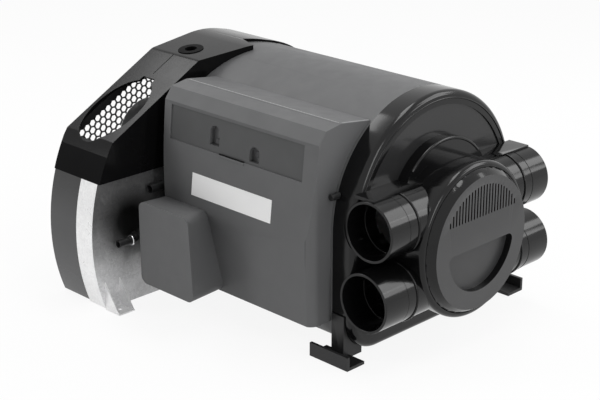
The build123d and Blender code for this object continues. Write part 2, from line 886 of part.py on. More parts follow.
# Bulkhead: zinc plate with a bent flange round the end cover and a foot tab
end_form = end_outline()
plate_face_back = bulkhead_back + bulkhead_sheet
cover_form = shrink(end_form, bulkhead_sheet + flange_play)
high = 4 * drum_radius
tab_inner = tab_front - tab_width
with BuildPart() as bulkhead:
    add(stretch(end_form, bulkhead_back, plate_face_back))
    add(block((bulkhead_back - overrun, plate_face_back + overrun), (-high, high), (hood_seam, high)),
        mode=Mode.SUBTRACT)
    add(stretch(shrink(end_form, hood_wall + plate_play), bulkhead_back, plate_face_back))
    with BuildPart(mode=Mode.PRIVATE) as flange:
        add(stretch(end_form, bulkhead_back, bulkhead_back + flange_depth))
        add(stretch(shrink(end_form, bulkhead_sheet), bulkhead_back - overrun,
                    bulkhead_back + flange_depth + overrun), mode=Mode.SUBTRACT)
        add(block((bulkhead_back, bulkhead_back + flange_depth), (-high, high), (hood_seam, high)),
            mode=Mode.SUBTRACT)
    add(flange.part)
    # foot tab with two gusset cheeks
    add(block((bulkhead_back - tab_depth, bulkhead_back), (-tab_front, -tab_inner), (0, bulkhead_sheet)))
    for cheek_y in (-tab_front, -tab_inner - bulkhead_sheet):
        with BuildSketch(side(cheek_y)):
            with BuildLine():
                Polyline(
                    (-at(bulkhead_back - tab_depth), 0),
                    (-at(bulkhead_back), 0),
                    (-at(bulkhead_back), tab_height),
                    close=True,
                )
            make_face()
        extrude(amount=bulkhead_sheet)
    with BuildSketch(Plane.XY):
        with Locations((at(bulkhead_back - tab_depth / 2), axis_y - (tab_front + tab_inner) / 2)):
            Circle(foot_hole_radius)
    extrude(amount=bulkhead_sheet + overrun, mode=Mode.SUBTRACT)
    # ports for the burner, the igniter, the flue, the warm-air duct, the gas pipe and the tongue
    through = (bulkhead_back - overrun, plate_face_back + overrun)
    add(round_bar(burner_port_radius, through[0], through[1], 0, drum_height), mode=Mode.SUBTRACT)
    add(round_bar(igniter_radius + seat_gap, through[0], through[1], 0, drum_height + igniter_rise),
        mode=Mode.SUBTRACT)
    add(round_bar(gas_pipe_radius + seat_gap, through[0], through[1], gas_y, gas_height), mode=Mode.SUBTRACT)
    add(block(through, flue_port, (drum_height - flue_port_half, drum_height + flue_port_half)),
        mode=Mode.SUBTRACT)
    add(block(through, (fan_duct_start + fan_case_wall, fan_duct_end - fan_case_wall),
              (fan_duct_low + fan_case_wall, fan_height + fan_case_radius - fan_case_wall)),
        mode=Mode.SUBTRACT)
    with BuildPart(mode=Mode.PRIVATE) as tongue_cut:
        add(block(through, (tongue_from - plate_play, tongue_to + plate_play), (drum_height, high)))
        add(round_bar(drum_radius - shell_wall - plate_play, through[0] - overrun, through[1] + overrun, 0,
                      drum_height), mode=Mode.SUBTRACT)
    add(tongue_cut.part, mode=Mode.SUBTRACT)
    for radius, height in ((flue_radius, flue_height), (air_radius, air_height)):
        add(cross_bar(radius + seat_gap, spigot_back, height, air_spigot_start, rear_flank + overrun),
            mode=Mode.SUBTRACT)
save(bulkhead, "bulkhead")

# Hood: glossy black shell above the seam, with the deck, the oval opening and a side wall
hood_front = (
    (hood_right_back, -high),
    (hood_right_back, -shoulder_high[0]),
    deck_tip,
    deck_notch,
    deck_tail,
    (hood_right_back, deck_tail[1]),
    (hood_right_back, high),
    (length + high, high),
    (length + high, -high),
)
with BuildSketch(Plane.XY) as hood_plan:
    with BuildLine():
        Polyline(*[(at(back), axis_y + y) for back, y in hood_front], close=True)
    make_face()
diagonal = slope((-shoulder_low[0], shoulder_low[1]), (-shoulder_high[0], shoulder_high[1]))
diagonal_run = math.hypot(shoulder_low[0] - shoulder_high[0], shoulder_high[1] - shoulder_low[1])
oval_rise = diagonal_run - oval_drop
deck = slope((-shoulder_high[0], shoulder_high[1]), arch_start)
grommet_run = (grommet_y + shoulder_high[0]) / math.cos(
    math.atan2(arch_start[1] - shoulder_high[1], arch_start[0] + shoulder_high[0]))


def hood_form(inset, front_inset, end_back):
    """Hood form above the seam, set in by inset all round and by front_inset at its front edge."""
    with BuildPart() as form:
        add(stretch(shrink(end_form, inset), deck_tip[0], end_back))
        with BuildSketch(Plane.XY):
            add(hood_plan.sketch)
            offset(amount=-front_inset, kind=Kind.INTERSECTION)
        extrude(amount=high, mode=Mode.INTERSECT)
    return form.part


with BuildPart() as hood:
    add(hood_form(0, 0, length))
    add(hood_form(hood_wall, bulkhead_back - hood_right_back, length - hood_wall), mode=Mode.SUBTRACT)
    add(stretch(shrink(end_form, hood_wall), bulkhead_back, length - hood_wall), mode=Mode.SUBTRACT)
    add(block((deck_tip[0] - overrun, length + overrun), (-high, high), (-overrun, hood_seam)),
        mode=Mode.SUBTRACT)
    add(stretch(drum_clear, deck_tip[0] - overrun, bulkhead_back), mode=Mode.SUBTRACT)
    with BuildSketch(diagonal.offset(overrun)):
        with Locations((at(oval_back), oval_rise)):
            Ellipse(oval_wide, oval_long)
        with Locations((at(oval_notch_back), oval_rise + oval_long)):
            Rectangle(oval_notch_wide, oval_notch_long)
    extrude(amount=-(hood_wall + 2 * overrun), mode=Mode.SUBTRACT)
    with BuildSketch(deck.offset(overrun)):
        with Locations((at(grommet_back), grommet_run)):
            Circle(grommet_radius)
    extrude(amount=-(hood_wall + 2 * overrun), mode=Mode.SUBTRACT)
    with BuildSketch(section(length + overrun)):
        with Locations(Location((-abs(grille_centre[0]), grille_centre[1], 0), grille_tilt)):
            RectangleRounded(grille_wide, grille_tall, grille_corner)
    extrude(amount=hood_wall + 2 * overrun, mode=Mode.SUBTRACT)
save(hood, "hood")

# Intake grille: honeycomb plate behind the window in the hood's end wall
grille_back = length - hood_wall
row_rise = grille_pitch * math.cos(math.radians(comb_half_angle))
rows = int((grille_tall / 2 - grille_rim) / row_rise)
columns = int((grille_wide / 2 - grille_rim) / grille_pitch)
tilt = math.radians(grille_tilt)
hole_places = []
for row in range(-rows, rows + 1):
    for column in range(-columns, columns + 1):
        along = (column + (row % 2) / 2) * grille_pitch
        up = row * row_rise
        if abs(along) < grille_wide / 2 - grille_rim and abs(up) < grille_tall / 2 - grille_rim:
            hole_places.append((
                grille_centre[0] + along * math.cos(tilt) - up * math.sin(tilt),
                grille_centre[1] + along * math.sin(tilt) + up * math.cos(tilt),
            ))
with BuildPart() as intake_grille:
    with BuildSketch(section(grille_back)):
        with Locations(Location((grille_centre[0], grille_centre[1], 0), grille_tilt)):
            RectangleRounded(grille_wide + grille_rim, grille_tall + grille_rim, grille_corner)
        with Locations(*hole_places):
            RegularPolygon(grille_hole / 2, comb_sides, major_radius=False,
                           rotation=grille_tilt + comb_half_angle, mode=Mode.SUBTRACT)
    extrude(amount=grille_sheet)
save(intake_grille, "intake_grille")

# Cable grommet in the hood's deck
with BuildPart() as cable_grommet:
    with BuildSketch(deck):
        with Locations((at(grommet_back), grommet_run)):
            Circle(grommet_radius + grommet_flange)
    extrude(amount=grommet_flange / 2)
    with BuildSketch(deck.offset(grommet_flange / 2)):
        with Locations((at(grommet_back), grommet_run)):
            Circle(grommet_radius - seat_gap)
    extrude(amount=-(hood_wall + grommet_flange))
    with BuildSketch(deck.offset(-(hood_wall + grommet_flange / 2))):
        with Locations((at(grommet_back), grommet_run)):
            Circle(grommet_radius + grommet_flange)
    extrude(amount=grommet_flange / 2)
    with BuildSketch(deck.offset(grommet_flange)):
        with Locations((at(grommet_back), grommet_run)):
            Circle(grommet_bore)
    extrude(amount=-(hood_wall + 3 * grommet_flange), mode=Mode.SUBTRACT)
save(cable_grommet, "cable_grommet")

# Burner end cover: dark shell below the seam, inside the bulkhead's flange
with BuildPart() as burner_end_cover:
    add(stretch(cover_form, plate_face_back + flange_play, length))
    add(stretch(shrink(end_form, bulkhead_sheet + flange_play + cover_sheet), plate_face_back,
                length - cover_sheet), mode=Mode.SUBTRACT)
    add(block((plate_face_back, length + overrun), (-high, high), (hood_seam, high)), mode=Mode.SUBTRACT)
    for radius, height in ((flue_radius, flue_height), (air_radius, air_height)):
        add(cross_bar(radius + seat_gap, spigot_back, height, air_spigot_start, rear_flank + overrun),
            mode=Mode.SUBTRACT)
save(burner_end_cover, "burner_end_cover")

# Feet under the outlet end: base plate with an outer lip and a post that hugs the cap
foot_clear = shrink(cap_outline, -seat_gap)
for way, side_name in ((-1, "front"), (1, "rear")):
    with BuildPart() as foot:
        add(block(foot_backs, (way * foot_inner, way * foot_outer), (0, foot_base)))
        add(block(foot_backs, (way * (foot_outer - foot_lip_thick), way * foot_outer), (0, foot_lip)))
        add(block(foot_post_backs, (way * foot_post_inner, way * foot_post_outer), (0, foot_post_top)))
        add(stretch(foot_clear, foot_backs[0], foot_backs[1]), mode=Mode.SUBTRACT)
        with BuildSketch(Plane.XY):
            with Locations((at(foot_backs[0] + foot_hole_inset),
                            axis_y + way * (foot_inner + foot_outer - foot_lip_thick) / 2)):
                Circle(foot_hole_radius)
        extrude(amount=foot_base + overrun, mode=Mode.SUBTRACT)
    save(foot, f"foot_{side_name}")

# Studs that join the end cap to the drum cover
with BuildPart() as cap_studs:
    for way in (-1, 1):
        add(cross_bar(stud_radius, stud_back, stud_height, way * box_brow[0] * stud_share, way * stud_reach))
    add(stretch(drum_clear, drum_start_back - drum_radius, drum_start_back + drum_radius), mode=Mode.SUBTRACT)
save(cap_studs, "cap_studs")

# Water tank: ring-shaped vessel around the heat exchanger
tank_start, tank_end = tank_backs
rod_places = [
    (tank_pitch_radius * math.cos(math.radians(angle)),
     drum_height + tank_pitch_radius * math.sin(math.radians(angle)))
    for angle in rod_angles
]
sensor_place = (
    tank_pitch_radius * math.cos(math.radians(sensor_angle)),
    drum_height + tank_pitch_radius * math.sin(math.radians(sensor_angle)),
)
with BuildPart() as water_tank:
    add(turned([
        (tank_start, tank_bore_radius),
        (tank_start, tank_radius),
        (tank_end, tank_radius),
        (tank_end, tank_bore_radius),
    ], 0, drum_height))
    add(turned([
        (tank_start + tank_sheet, tank_bore_radius + tank_sheet),
        (tank_start + tank_sheet, tank_radius - tank_sheet),
        (tank_end - tank_sheet, tank_radius - tank_sheet),
        (tank_end - tank_sheet, tank_bore_radius + tank_sheet),
    ], 0, drum_height), mode=Mode.SUBTRACT)
    for y, height in rod_places:
        add(round_bar(rod_radius + seat_gap, tank_start - overrun, tank_start + 2 * tank_sheet, y, height),
            mode=Mode.SUBTRACT)
    add(round_bar(sensor_radius + seat_gap, tank_start - overrun, tank_start + 2 * tank_sheet,
                  sensor_place[0], sensor_place[1]), mode=Mode.SUBTRACT)
    for height in water_heights:
        add(round_bar(water_pipe_radius + seat_gap, tank_end - 2 * tank_sheet, tank_end + overrun,
                      water_tank_y, height), mode=Mode.SUBTRACT)
save(water_tank, "water_tank")

# Heating rods and temperature sensor in the tank's end wall
with BuildPart() as heating_rods:
    for y, height in rod_places:
        add(turned([
            (tank_start - rod_head_long, 0),
            (tank_start - rod_head_long, rod_head_radius),
            (tank_start, rod_head_radius),
            (tank_start, rod_radius),
            (tank_start + rod_length, rod_radius),
            (tank_start + rod_length, 0),
        ], y, height))
save(heating_rods, "heating_rods")
with BuildPart() as temperature_sensor:
    add(turned([
        (tank_start - sensor_head_long, 0),
        (tank_start - sensor_head_long, sensor_head_radius),
        (tank_start, sensor_head_radius),
        (tank_start, sensor_radius),
        (tank_start + sensor_length, sensor_radius),
        (tank_start + sensor_length, 0),
    ], sensor_place[0], sensor_place[1]))
save(temperature_sensor, "temperature_sensor")

# Two straps around the tank, each over a cradle on the drum tray
strap_inner = tank_radius + seat_gap
strap_outer = strap_inner + strap_sheet
with BuildPart() as tank_straps:
    for strap_back in strap_backs:
        add(turned([
            (strap_back - strap_width / 2, strap_inner),
            (strap_back - strap_width / 2, strap_outer),
            (strap_back + strap_width / 2, strap_outer),
            (strap_back + strap_width / 2, strap_inner),
        ], 0, drum_height))
save(tank_straps, "tank_straps")
with BuildPart() as tank_cradles:
    for strap_back in strap_backs:
        add(block((strap_back - cradle_width / 2, strap_back + cradle_width / 2),
                  (-cradle_half, cradle_half), (underside + shell_wall, cradle_top)))
    add(round_bar(strap_outer + seat_gap, tank_start, tank_end, 0, drum_height), mode=Mode.SUBTRACT)
save(tank_cradles, "tank_cradles")

# Heat exchanger: closed finned tube fixed to the bulkhead
core_bore = core_radius - core_wall
with BuildPart() as heat_exchanger:
    add(round_bar(core_radius, core_start_back, bulkhead_back, 0, drum_height))
    with BuildSketch(section(tank_end)):
        with Locations((0, drum_height)):
            with PolarLocations((core_bore + fin_radius) / 2, fin_count):
                Rectangle(fin_radius - core_bore, fin_thick)
    extrude(amount=tank_end - tank_start)
    add(round_bar(core_bore, core_start_back + core_wall, bulkhead_back + overrun, 0, drum_height),
        mode=Mode.SUBTRACT)
save(heat_exchanger, "heat_exchanger")

# Burner: perforated tube on a flange, with a seal and an igniter
seal_back = plate_face_back + seal_thick
flange_back = seal_back + burner_flange_sheet
with BuildPart() as burner_tube:
    add(round_bar(burner_radius, burner_start_back, seal_back, 0, drum_height))
    add(round_bar(burner_radius - burner_wall, burner_start_back + burner_wall, seal_back + overrun, 0,
                  drum_height), mode=Mode.SUBTRACT)
    for row in range(burner_hole_rows):
        row_back = burner_start_back + (row + 1) * burner_hole_pitch
        for turn in range(burner_holes_round // 2):
            angle = turn * full_turn / burner_holes_round
            with BuildSketch(Plane(origin=(at(row_back), axis_y, drum_height), x_dir=(1, 0, 0),
                                   z_dir=(0, math.cos(math.radians(angle)), math.sin(math.radians(angle))))):
                Circle(burner_hole_radius)
            extrude(amount=burner_radius + overrun, both=True, mode=Mode.SUBTRACT)
save(burner_tube, "burner_tube")
with BuildPart() as burner_seal:
    add(turned([
        (plate_face_back, burner_port_radius),
        (plate_face_back, burner_flange_radius),
        (seal_back, burner_flange_radius),
        (seal_back, burner_port_radius),
    ], 0, drum_height))
save(burner_seal, "burner_seal")
with BuildPart() as burner_flange:
    add(turned([
        (seal_back, burner_radius - burner_wall),
        (seal_back, burner_flange_radius),
        (flange_back, burner_flange_radius),
        (flange_back, burner_radius - burner_wall),
    ], 0, drum_height))
save(burner_flange, "burner_flange")
with BuildPart() as igniter:
    add(turned([
        (igniter_start_back, 0),
        (igniter_start_back, igniter_radius),
        (plate_face_back, igniter_radius),
        (plate_face_back, igniter_head_radius),
        (plate_face_back + igniter_head_long, igniter_head_radius),
        (plate_face_back + igniter_head_long, 0),
    ], 0, drum_height + igniter_rise))
save(igniter, "igniter")

# Warm-air fan: motor on the bulkhead, wheel on its shaft, round case and duct into the drum
fan_case_start = plate_face_back + motor_long
fan_wheel_start = fan_case_start + fan_case_wall + fan_end_gap
fan_wheel_end = fan_wheel_start + fan_wheel_depth
fan_case_end = fan_wheel_end + fan_end_gap + fan_case_wall
fan_duct_top = fan_height + fan_case_radius
with BuildPart() as circulation_fan_motor:
    add(round_bar(motor_radius, plate_face_back, fan_case_start, fan_y, fan_height))
    add(round_bar(shaft_radius, fan_case_start, fan_wheel_start + boss_long, fan_y, fan_height))
save(circulation_fan_motor, "circulation_fan_motor")
with BuildPart() as circulation_fan_case:
    add(fan_case(fan_case_radius, fan_case_wall, fan_inlet_radius, (fan_case_start, fan_case_end),
                 fan_y, fan_height, fan_duct_low, fan_duct_start))
save(circulation_fan_case, "circulation_fan_case")
with BuildPart() as circulation_fan_wheel:
    add(fan_wheel(fan_radius, fan_blades, fan_blade_long, (fan_wheel_start, fan_wheel_end),
                  fan_y, fan_height))
save(circulation_fan_wheel, "circulation_fan_wheel")
with BuildPart() as warm_air_duct:
    add(block((plate_face_back, fan_case_end), (fan_duct_start, fan_duct_end), (fan_duct_low, fan_duct_top)))
    add(block((plate_face_back - overrun, fan_case_end - fan_case_wall),
              (fan_duct_start + fan_case_wall, fan_duct_end - fan_case_wall),
              (fan_duct_low + fan_case_wall, fan_duct_top - fan_case_wall)), mode=Mode.SUBTRACT)
    add(block((fan_case_start + fan_case_wall, fan_case_end - fan_case_wall),
              (fan_duct_start - overrun, fan_duct_start + 2 * fan_case_wall),
              (fan_duct_low + fan_case_wall, fan_duct_top - fan_case_wall)), mode=Mode.SUBTRACT)
save(warm_air_duct, "warm_air_duct")

# Combustion fan: the same layout, smaller, blowing into the mixing chamber
blower_case_start = plate_face_back + blower_motor_long
blower_wheel_start = blower_case_start + blower_case_wall + blower_end_gap
blower_wheel_end = blower_wheel_start + blower_wheel_depth
blower_case_end = blower_wheel_end + blower_end_gap + blower_case_wall
blower_duct_top = blower_height + blower_case_radius
with BuildPart() as combustion_fan_motor:
    add(round_bar(blower_motor_radius, plate_face_back, blower_case_start, blower_y, blower_height))
    add(round_bar(shaft_radius, blower_case_start, blower_wheel_start + boss_long, blower_y, blower_height))
save(combustion_fan_motor, "combustion_fan_motor")
with BuildPart() as combustion_fan_case:
    add(fan_case(blower_case_radius, blower_case_wall, blower_inlet_radius,
                 (blower_case_start, blower_case_end), blower_y, blower_height, blower_duct_low,
                 blower_duct_start))
save(combustion_fan_case, "combustion_fan_case")
with BuildPart() as combustion_fan_wheel:
    add(fan_wheel(blower_radius, blower_blades, blower_blade_long, (blower_wheel_start, blower_wheel_end),
                  blower_y, blower_height))
save(combustion_fan_wheel, "combustion_fan_wheel")
with BuildPart() as combustion_duct:
    add(block((blower_case_start, blower_case_end), (blower_duct_start, -manifold_half),
              (blower_duct_low, blower_duct_top)))
    add(block((blower_case_start + blower_case_wall, blower_case_end - blower_case_wall),
              (blower_duct_start - overrun, -manifold_half + overrun),
              (blower_duct_low + blower_case_wall, blower_duct_top - blower_case_wall)), mode=Mode.SUBTRACT)
save(combustion_duct, "combustion_duct")
with BuildPart() as mixing_chamber:
    add(block((flange_back, manifold_back), (-manifold_half, manifold_half), (manifold_low, manifold_high)))
    add(block((flange_back + manifold_wall, manifold_back - manifold_wall),
              (-manifold_half + manifold_wall, manifold_half - manifold_wall),
              (manifold_low + manifold_wall, manifold_high - manifold_wall)), mode=Mode.SUBTRACT)
    add(round_bar(burner_radius - burner_wall, flange_back - overrun, flange_back + 2 * manifold_wall, 0,
                  drum_height), mode=Mode.SUBTRACT)
    add(block((blower_case_start + blower_case_wall, blower_case_end - blower_case_wall),
              (-manifold_half - overrun, -manifold_half + 2 * manifold_wall),
              (blower_duct_low + blower_case_wall, blower_duct_top - blower_case_wall)), mode=Mode.SUBTRACT)
    add(cross_bar(gas_feed_radius + seat_gap, gas_feed_back, gas_feed_height, -manifold_half - overrun,
                  -manifold_half + 2 * manifold_wall), mode=Mode.SUBTRACT)
save(mixing_chamber, "mixing_chamber")

# Gas: inlet pipe through the bulkhead, valve block and feed pipe to the mixing chamber
with BuildPart() as gas_valve:
    add(block((plate_face_back, plate_face_back + valve_deep),
              (gas_y - valve_wide / 2, gas_y + valve_wide / 2),
              (gas_height - valve_tall / 2, gas_height + valve_tall / 2)))
    add(round_bar(gas_pipe_bore, plate_face_back - overrun, gas_feed_back, gas_y, gas_height),
        mode=Mode.SUBTRACT)
save(gas_valve, "gas_valve")
gas_route = (
    (plate_face_back, gas_y, gas_height),
    (gas_back, gas_y, gas_height),
    (gas_back, -gas_reach, gas_height),
)
with BuildPart() as gas_inlet_pipe:
    add(bent_pipe(gas_pipe_radius, gas_route, gas_bend))
    add(cross_bar(gas_pipe_radius + bead_high, gas_back, gas_height, pipe_grip - gas_reach,
                  pipe_grip - gas_reach + bead_wide))
    add(bent_pipe(gas_pipe_bore, gas_route, gas_bend), mode=Mode.SUBTRACT)
save(gas_inlet_pipe, "gas_inlet_pipe")
with BuildPart() as gas_feed_pipe:
    add(cross_bar(gas_feed_radius, gas_feed_back, gas_feed_height, gas_y + valve_wide / 2,
                  -manifold_half + manifold_wall))
    add(cross_bar(gas_feed_radius / 2, gas_feed_back, gas_feed_height, gas_y, manifold_half),
        mode=Mode.SUBTRACT)
save(gas_feed_pipe, "gas_feed_pipe")

# Water: two pipes from the tank's burner end out through the drum's front flank
for height, pipe_name in zip(water_heights, ("hot_water_outlet", "cold_water_inlet")):
    route = (
        (tank_end - water_insert, water_tank_y, height),
        (water_back, water_tank_y, height),
        (water_back, -water_reach, height),
    )
    with BuildPart() as water_pipe:
        add(bent_pipe(water_pipe_radius, route, water_bend))
        add(cross_bar(water_pipe_radius + bead_high, water_back, height, pipe_grip - water_reach,
                      pipe_grip - water_reach + bead_wide))
        add(bent_pipe(water_pipe_bore, route, water_bend), mode=Mode.SUBTRACT)
    save(water_pipe, pipe_name)
with BuildPart() as pipe_nuts:
    for height in water_heights:
        with BuildSketch(side(-drum_radius - seat_gap - water_nut_long)):
            with Locations((-at(water_back), height)):
                RegularPolygon(water_nut_radius, nut_sides)
                Circle(water_pipe_radius + seat_gap, mode=Mode.SUBTRACT)
        extrude(amount=water_nut_long)
save(pipe_nuts, "pipe_nuts")

# Flue gas collector with the exhaust spigot, and the combustion-air spigot, both to the rear
port_heights = (collector_low, collector_high)
with BuildPart() as flue_collector:
    add(block((plate_face_back, collector_back), (collector_inner, collector_outer), port_heights))
    add(block((plate_face_back - overrun, collector_back - manifold_wall),
              (collector_inner + manifold_wall, collector_outer - manifold_wall),
              (collector_low + manifold_wall, collector_high - manifold_wall)), mode=Mode.SUBTRACT)
    add(cross_bar(flue_radius - spigot_wall, spigot_back, flue_height, collector_outer - 2 * manifold_wall,
                  collector_outer + overrun), mode=Mode.SUBTRACT)
save(flue_collector, "flue_collector")
cover_inner_y = rear_flank - bulkhead_sheet - flange_play - cover_sheet
for radius, height, start_y, spigot_name in (
    (flue_radius, flue_height, collector_outer, "exhaust_spigot"),
    (air_radius, air_height, air_spigot_start, "combustion_air_spigot"),
):
    with BuildPart() as spigot:
        add(cross_bar(radius, spigot_back, height, start_y, rear_reach))
        add(cross_bar(radius + bead_high, spigot_back, height, rear_reach - spigot_grip - bead_wide,
                      rear_reach - spigot_grip))
        add(cross_bar(radius + spigot_flange, spigot_back, height, cover_inner_y - spigot_flange_thick,
                      cover_inner_y))
        add(cross_bar(radius - spigot_wall, spigot_back, height, start_y - overrun, rear_reach + overrun),
            mode=Mode.SUBTRACT)
    save(spigot, spigot_name)

# Control board on spacers in the control box, with relays, and terminals under the connection cover
with BuildPart() as control_board:
    add(block(board_backs, (-board_y - board_thick, -board_y), (board_bottom, board_top)))
save(control_board, "control_board")
with BuildPart() as board_spacers:
    for spacer_back in (board_backs[0] + board_margin, board_backs[1] - board_margin):
        for height in spacer_heights:
            add(cross_bar(spacer_radius, spacer_back, height, -board_y, -drum_radius))
save(board_spacers, "board_spacers")
with BuildPart() as relays:
    for count in range(relay_count):
        relay_back = relay_first_back + count * relay_pitch
        add(block((relay_back - relay_size[0] / 2, relay_back + relay_size[0] / 2),
                  (-board_y - board_thick - relay_size[1], -board_y - board_thick),
                  (relay_height - relay_size[2] / 2, relay_height + relay_size[2] / 2)))
save(relays, "relays")
with BuildPart() as terminal_block:
    add(block((terminal_back - terminal_size[0] / 2, terminal_back + terminal_size[0] / 2),
              (-box_mid[0] - terminal_size[1], -box_front + overrun),
              (terminal_height - terminal_size[2] / 2, terminal_height + terminal_size[2] / 2)))
    add(box_form(0), mode=Mode.SUBTRACT)
save(terminal_block, "terminal_block")
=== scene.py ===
import bpy
import bmesh
import json
import math
from mathutils import Matrix, Vector


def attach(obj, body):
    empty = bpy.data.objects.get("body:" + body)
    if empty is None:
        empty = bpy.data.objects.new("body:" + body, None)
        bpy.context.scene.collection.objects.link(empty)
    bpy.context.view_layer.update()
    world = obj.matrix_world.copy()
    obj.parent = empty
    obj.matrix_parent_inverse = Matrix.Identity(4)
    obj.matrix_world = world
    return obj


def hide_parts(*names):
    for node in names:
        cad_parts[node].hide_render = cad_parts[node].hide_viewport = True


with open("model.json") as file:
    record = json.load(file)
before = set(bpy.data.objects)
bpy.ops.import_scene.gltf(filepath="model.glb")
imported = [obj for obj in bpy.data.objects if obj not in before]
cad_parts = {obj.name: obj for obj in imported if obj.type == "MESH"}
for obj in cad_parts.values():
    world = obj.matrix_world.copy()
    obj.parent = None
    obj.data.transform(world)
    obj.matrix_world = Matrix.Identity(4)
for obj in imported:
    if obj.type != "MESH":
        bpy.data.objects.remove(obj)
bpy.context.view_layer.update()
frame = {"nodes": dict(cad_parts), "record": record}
nodes = frame["nodes"]

# Caravan heater: places are given as the distance behind the round cover's face,
# the distance from the drum's axis towards the rear, and the height, all in millimetres.
PER_METRE = 1000
FACE_X = 245.0
AXIS_Y = 52.0
AXIS_X = (1, 0, 0)
AXIS_ACROSS = (0, 1, 0)
WHITE = (1, 1, 1, 1)


def place(back, y, height):
    """Point of the scene, in metres, from a place on the heater in millimetres."""
    return Vector(((FACE_X - back) / PER_METRE, (AXIS_Y + y) / PER_METRE, height / PER_METRE))


# Camera, fitted to the reference view
LENS = 88.8
SENSOR_WIDTH = 36.0
CLIP_RANGE = (0.05, 60.0)
CAMERA_SPOT = (1.2518, -1.2614, 0.7965)
VIEW_LINE = (-0.6631, 0.6627, -0.3481)

camera_data = bpy.data.cameras.new("photo_camera")
camera_data.lens = LENS
camera_data.sensor_width = SENSOR_WIDTH
camera_data.clip_start, camera_data.clip_end = CLIP_RANGE
camera = bpy.data.objects.new("photo_camera", camera_data)
bpy.context.scene.collection.objects.link(camera)
camera.location = CAMERA_SPOT
camera.rotation_euler = Vector(VIEW_LINE).to_track_quat("-Z", "Y").to_euler()
bpy.context.scene.camera = camera
bpy.context.scene.view_settings.view_transform = "Standard"

# Studio light: name, spot, aim, width, height and power of each softbox
SOFTBOXES = (
    ("top_softbox", (0.1, 0.3, 1.9), (0, 0.05, 0.15), 1.3, 0.5, 12),
    ("left_softbox", (-1.3, -1.5, 1.1), (0, 0, 0.15), 0.5, 1.2, 11),
    ("right_softbox", (1.9, -0.4, 0.9), (0, 0, 0.15), 0.4, 1.1, 8),
    ("rear_softbox", (1.02, 1.4, 1.38), (0.1, 0.05, 0.15), 1.1, 0.8, 11),
    ("cover_softbox", (1.6, 1.45, 0.9), (0.2, 0.05, 0.15), 0.9, 0.5, 6),
    ("hood_softbox", (-1.55, -0.05, 1.9), (-0.2, -0.1, 0.25), 0.7, 0.7, 8),
)
AMBIENT_STRENGTH = 0.42
BACKDROP_STRENGTH = 1.0


def softbox(name, spot, aim, width, height, power):
    """Rectangular studio light at a spot, turned towards its aim."""
    data = bpy.data.lights.new(name, "AREA")
    data.shape = "RECTANGLE"
    data.size = width
    data.size_y = height
    data.energy = power
    lamp = bpy.data.objects.new(name, data)
    bpy.context.scene.collection.objects.link(lamp)
    lamp.location = spot
    lamp.rotation_euler = (Vector(aim) - Vector(spot)).to_track_quat("-Z", "Y").to_euler()


def seen_rays(tree):
    """Output that is one for camera, glossy and transmission rays, and zero for the rest."""
    path = tree.nodes.new("ShaderNodeLightPath")
    glossy = tree.nodes.new("ShaderNodeMath")
    glossy.operation = "MAXIMUM"
    clear = tree.nodes.new("ShaderNodeMath")
    clear.operation = "MAXIMUM"
    tree.links.new(path.outputs["Is Camera Ray"], glossy.inputs[0])
    tree.links.new(path.outputs["Is Glossy Ray"], glossy.inputs[1])
    tree.links.new(glossy.outputs[0], clear.inputs[0])
    tree.links.new(path.outputs["Is Transmission Ray"], clear.inputs[1])
    return clear.outputs[0]


def white_background(tree, strength):
    node = tree.nodes.new("ShaderNodeBackground")
    node.inputs["Color"].default_value = WHITE
    node.inputs["Strength"].default_value = strength
    return node.outputs[0]


for row in SOFTBOXES:
    softbox(*row)
world = bpy.data.worlds.new("studio")
bpy.context.scene.world = world
world.use_nodes = True
world_tree = world.node_tree
world_tree.nodes.clear()
world_mix = world_tree.nodes.new("ShaderNodeMixShader")
world_out = world_tree.nodes.new("ShaderNodeOutputWorld")
world_tree.links.new(seen_rays(world_tree), world_mix.inputs[0])
world_tree.links.new(white_background(world_tree, AMBIENT_STRENGTH), world_mix.inputs[1])
world_tree.links.new(white_background(world_tree, BACKDROP_STRENGTH), world_mix.inputs[2])
world_tree.links.new(world_mix.outputs[0], world_out.inputs["Surface"])


# Finishes
# Sockets of the colour form of the Mix node and of its vector form
MIX_FACTOR = 0
MIX_FIRST_VECTOR, MIX_SECOND_VECTOR, MIX_VECTOR = 4, 5, 1
MIX_FIRST_COLOUR, MIX_SECOND_COLOUR, MIX_COLOUR = 6, 7, 2
NOISE_RANGE = (0.3, 0.7)
RELIEF_HEIGHT = 0.0002
PLASTIC_RELIEF_HEIGHT = 0.00025
CLOUD_SCALE = 9.0
SMEAR_SCALE = CLOUD_SCALE * 5
PLASTIC_ROUGH_SHARES = (0.88, 1.12)
METAL_ROUGH_SHARES = (0.75, 1.3)
METAL_CLOUD_SCALE = 22.0
METAL_MARK_SCALE = 5.0
ZINC_ROUGH_SHARES = (0.8, 1.25)
ZINC_CELL_SCALE = 210.0
ZINC_BEND_SCALE = 60.0
ZINC_BEND_SHARE = 0.06
ZINC_CLOUD_SCALE = 14.0
ZINC_CELL_SHARE = 0.45
ZINC_CLOUD_SHARE = 0.55
ZINC_RELIEF = 0.04


def new_finish(name):
    material = bpy.data.materials.new(name)
    material.use_nodes = True
    tree = material.node_tree
    shader = tree.nodes["Principled BSDF"]
    coords = tree.nodes.new("ShaderNodeTexCoord")
    return material, tree, shader, coords.outputs["Object"]


def noise(tree, coords, scale, detail):
    node = tree.nodes.new("ShaderNodeTexNoise")
    node.inputs["Scale"].default_value = scale
    node.inputs["Detail"].default_value = detail
    node.inputs["Roughness"].default_value = 0.55
    tree.links.new(coords, node.inputs["Vector"])
    return node


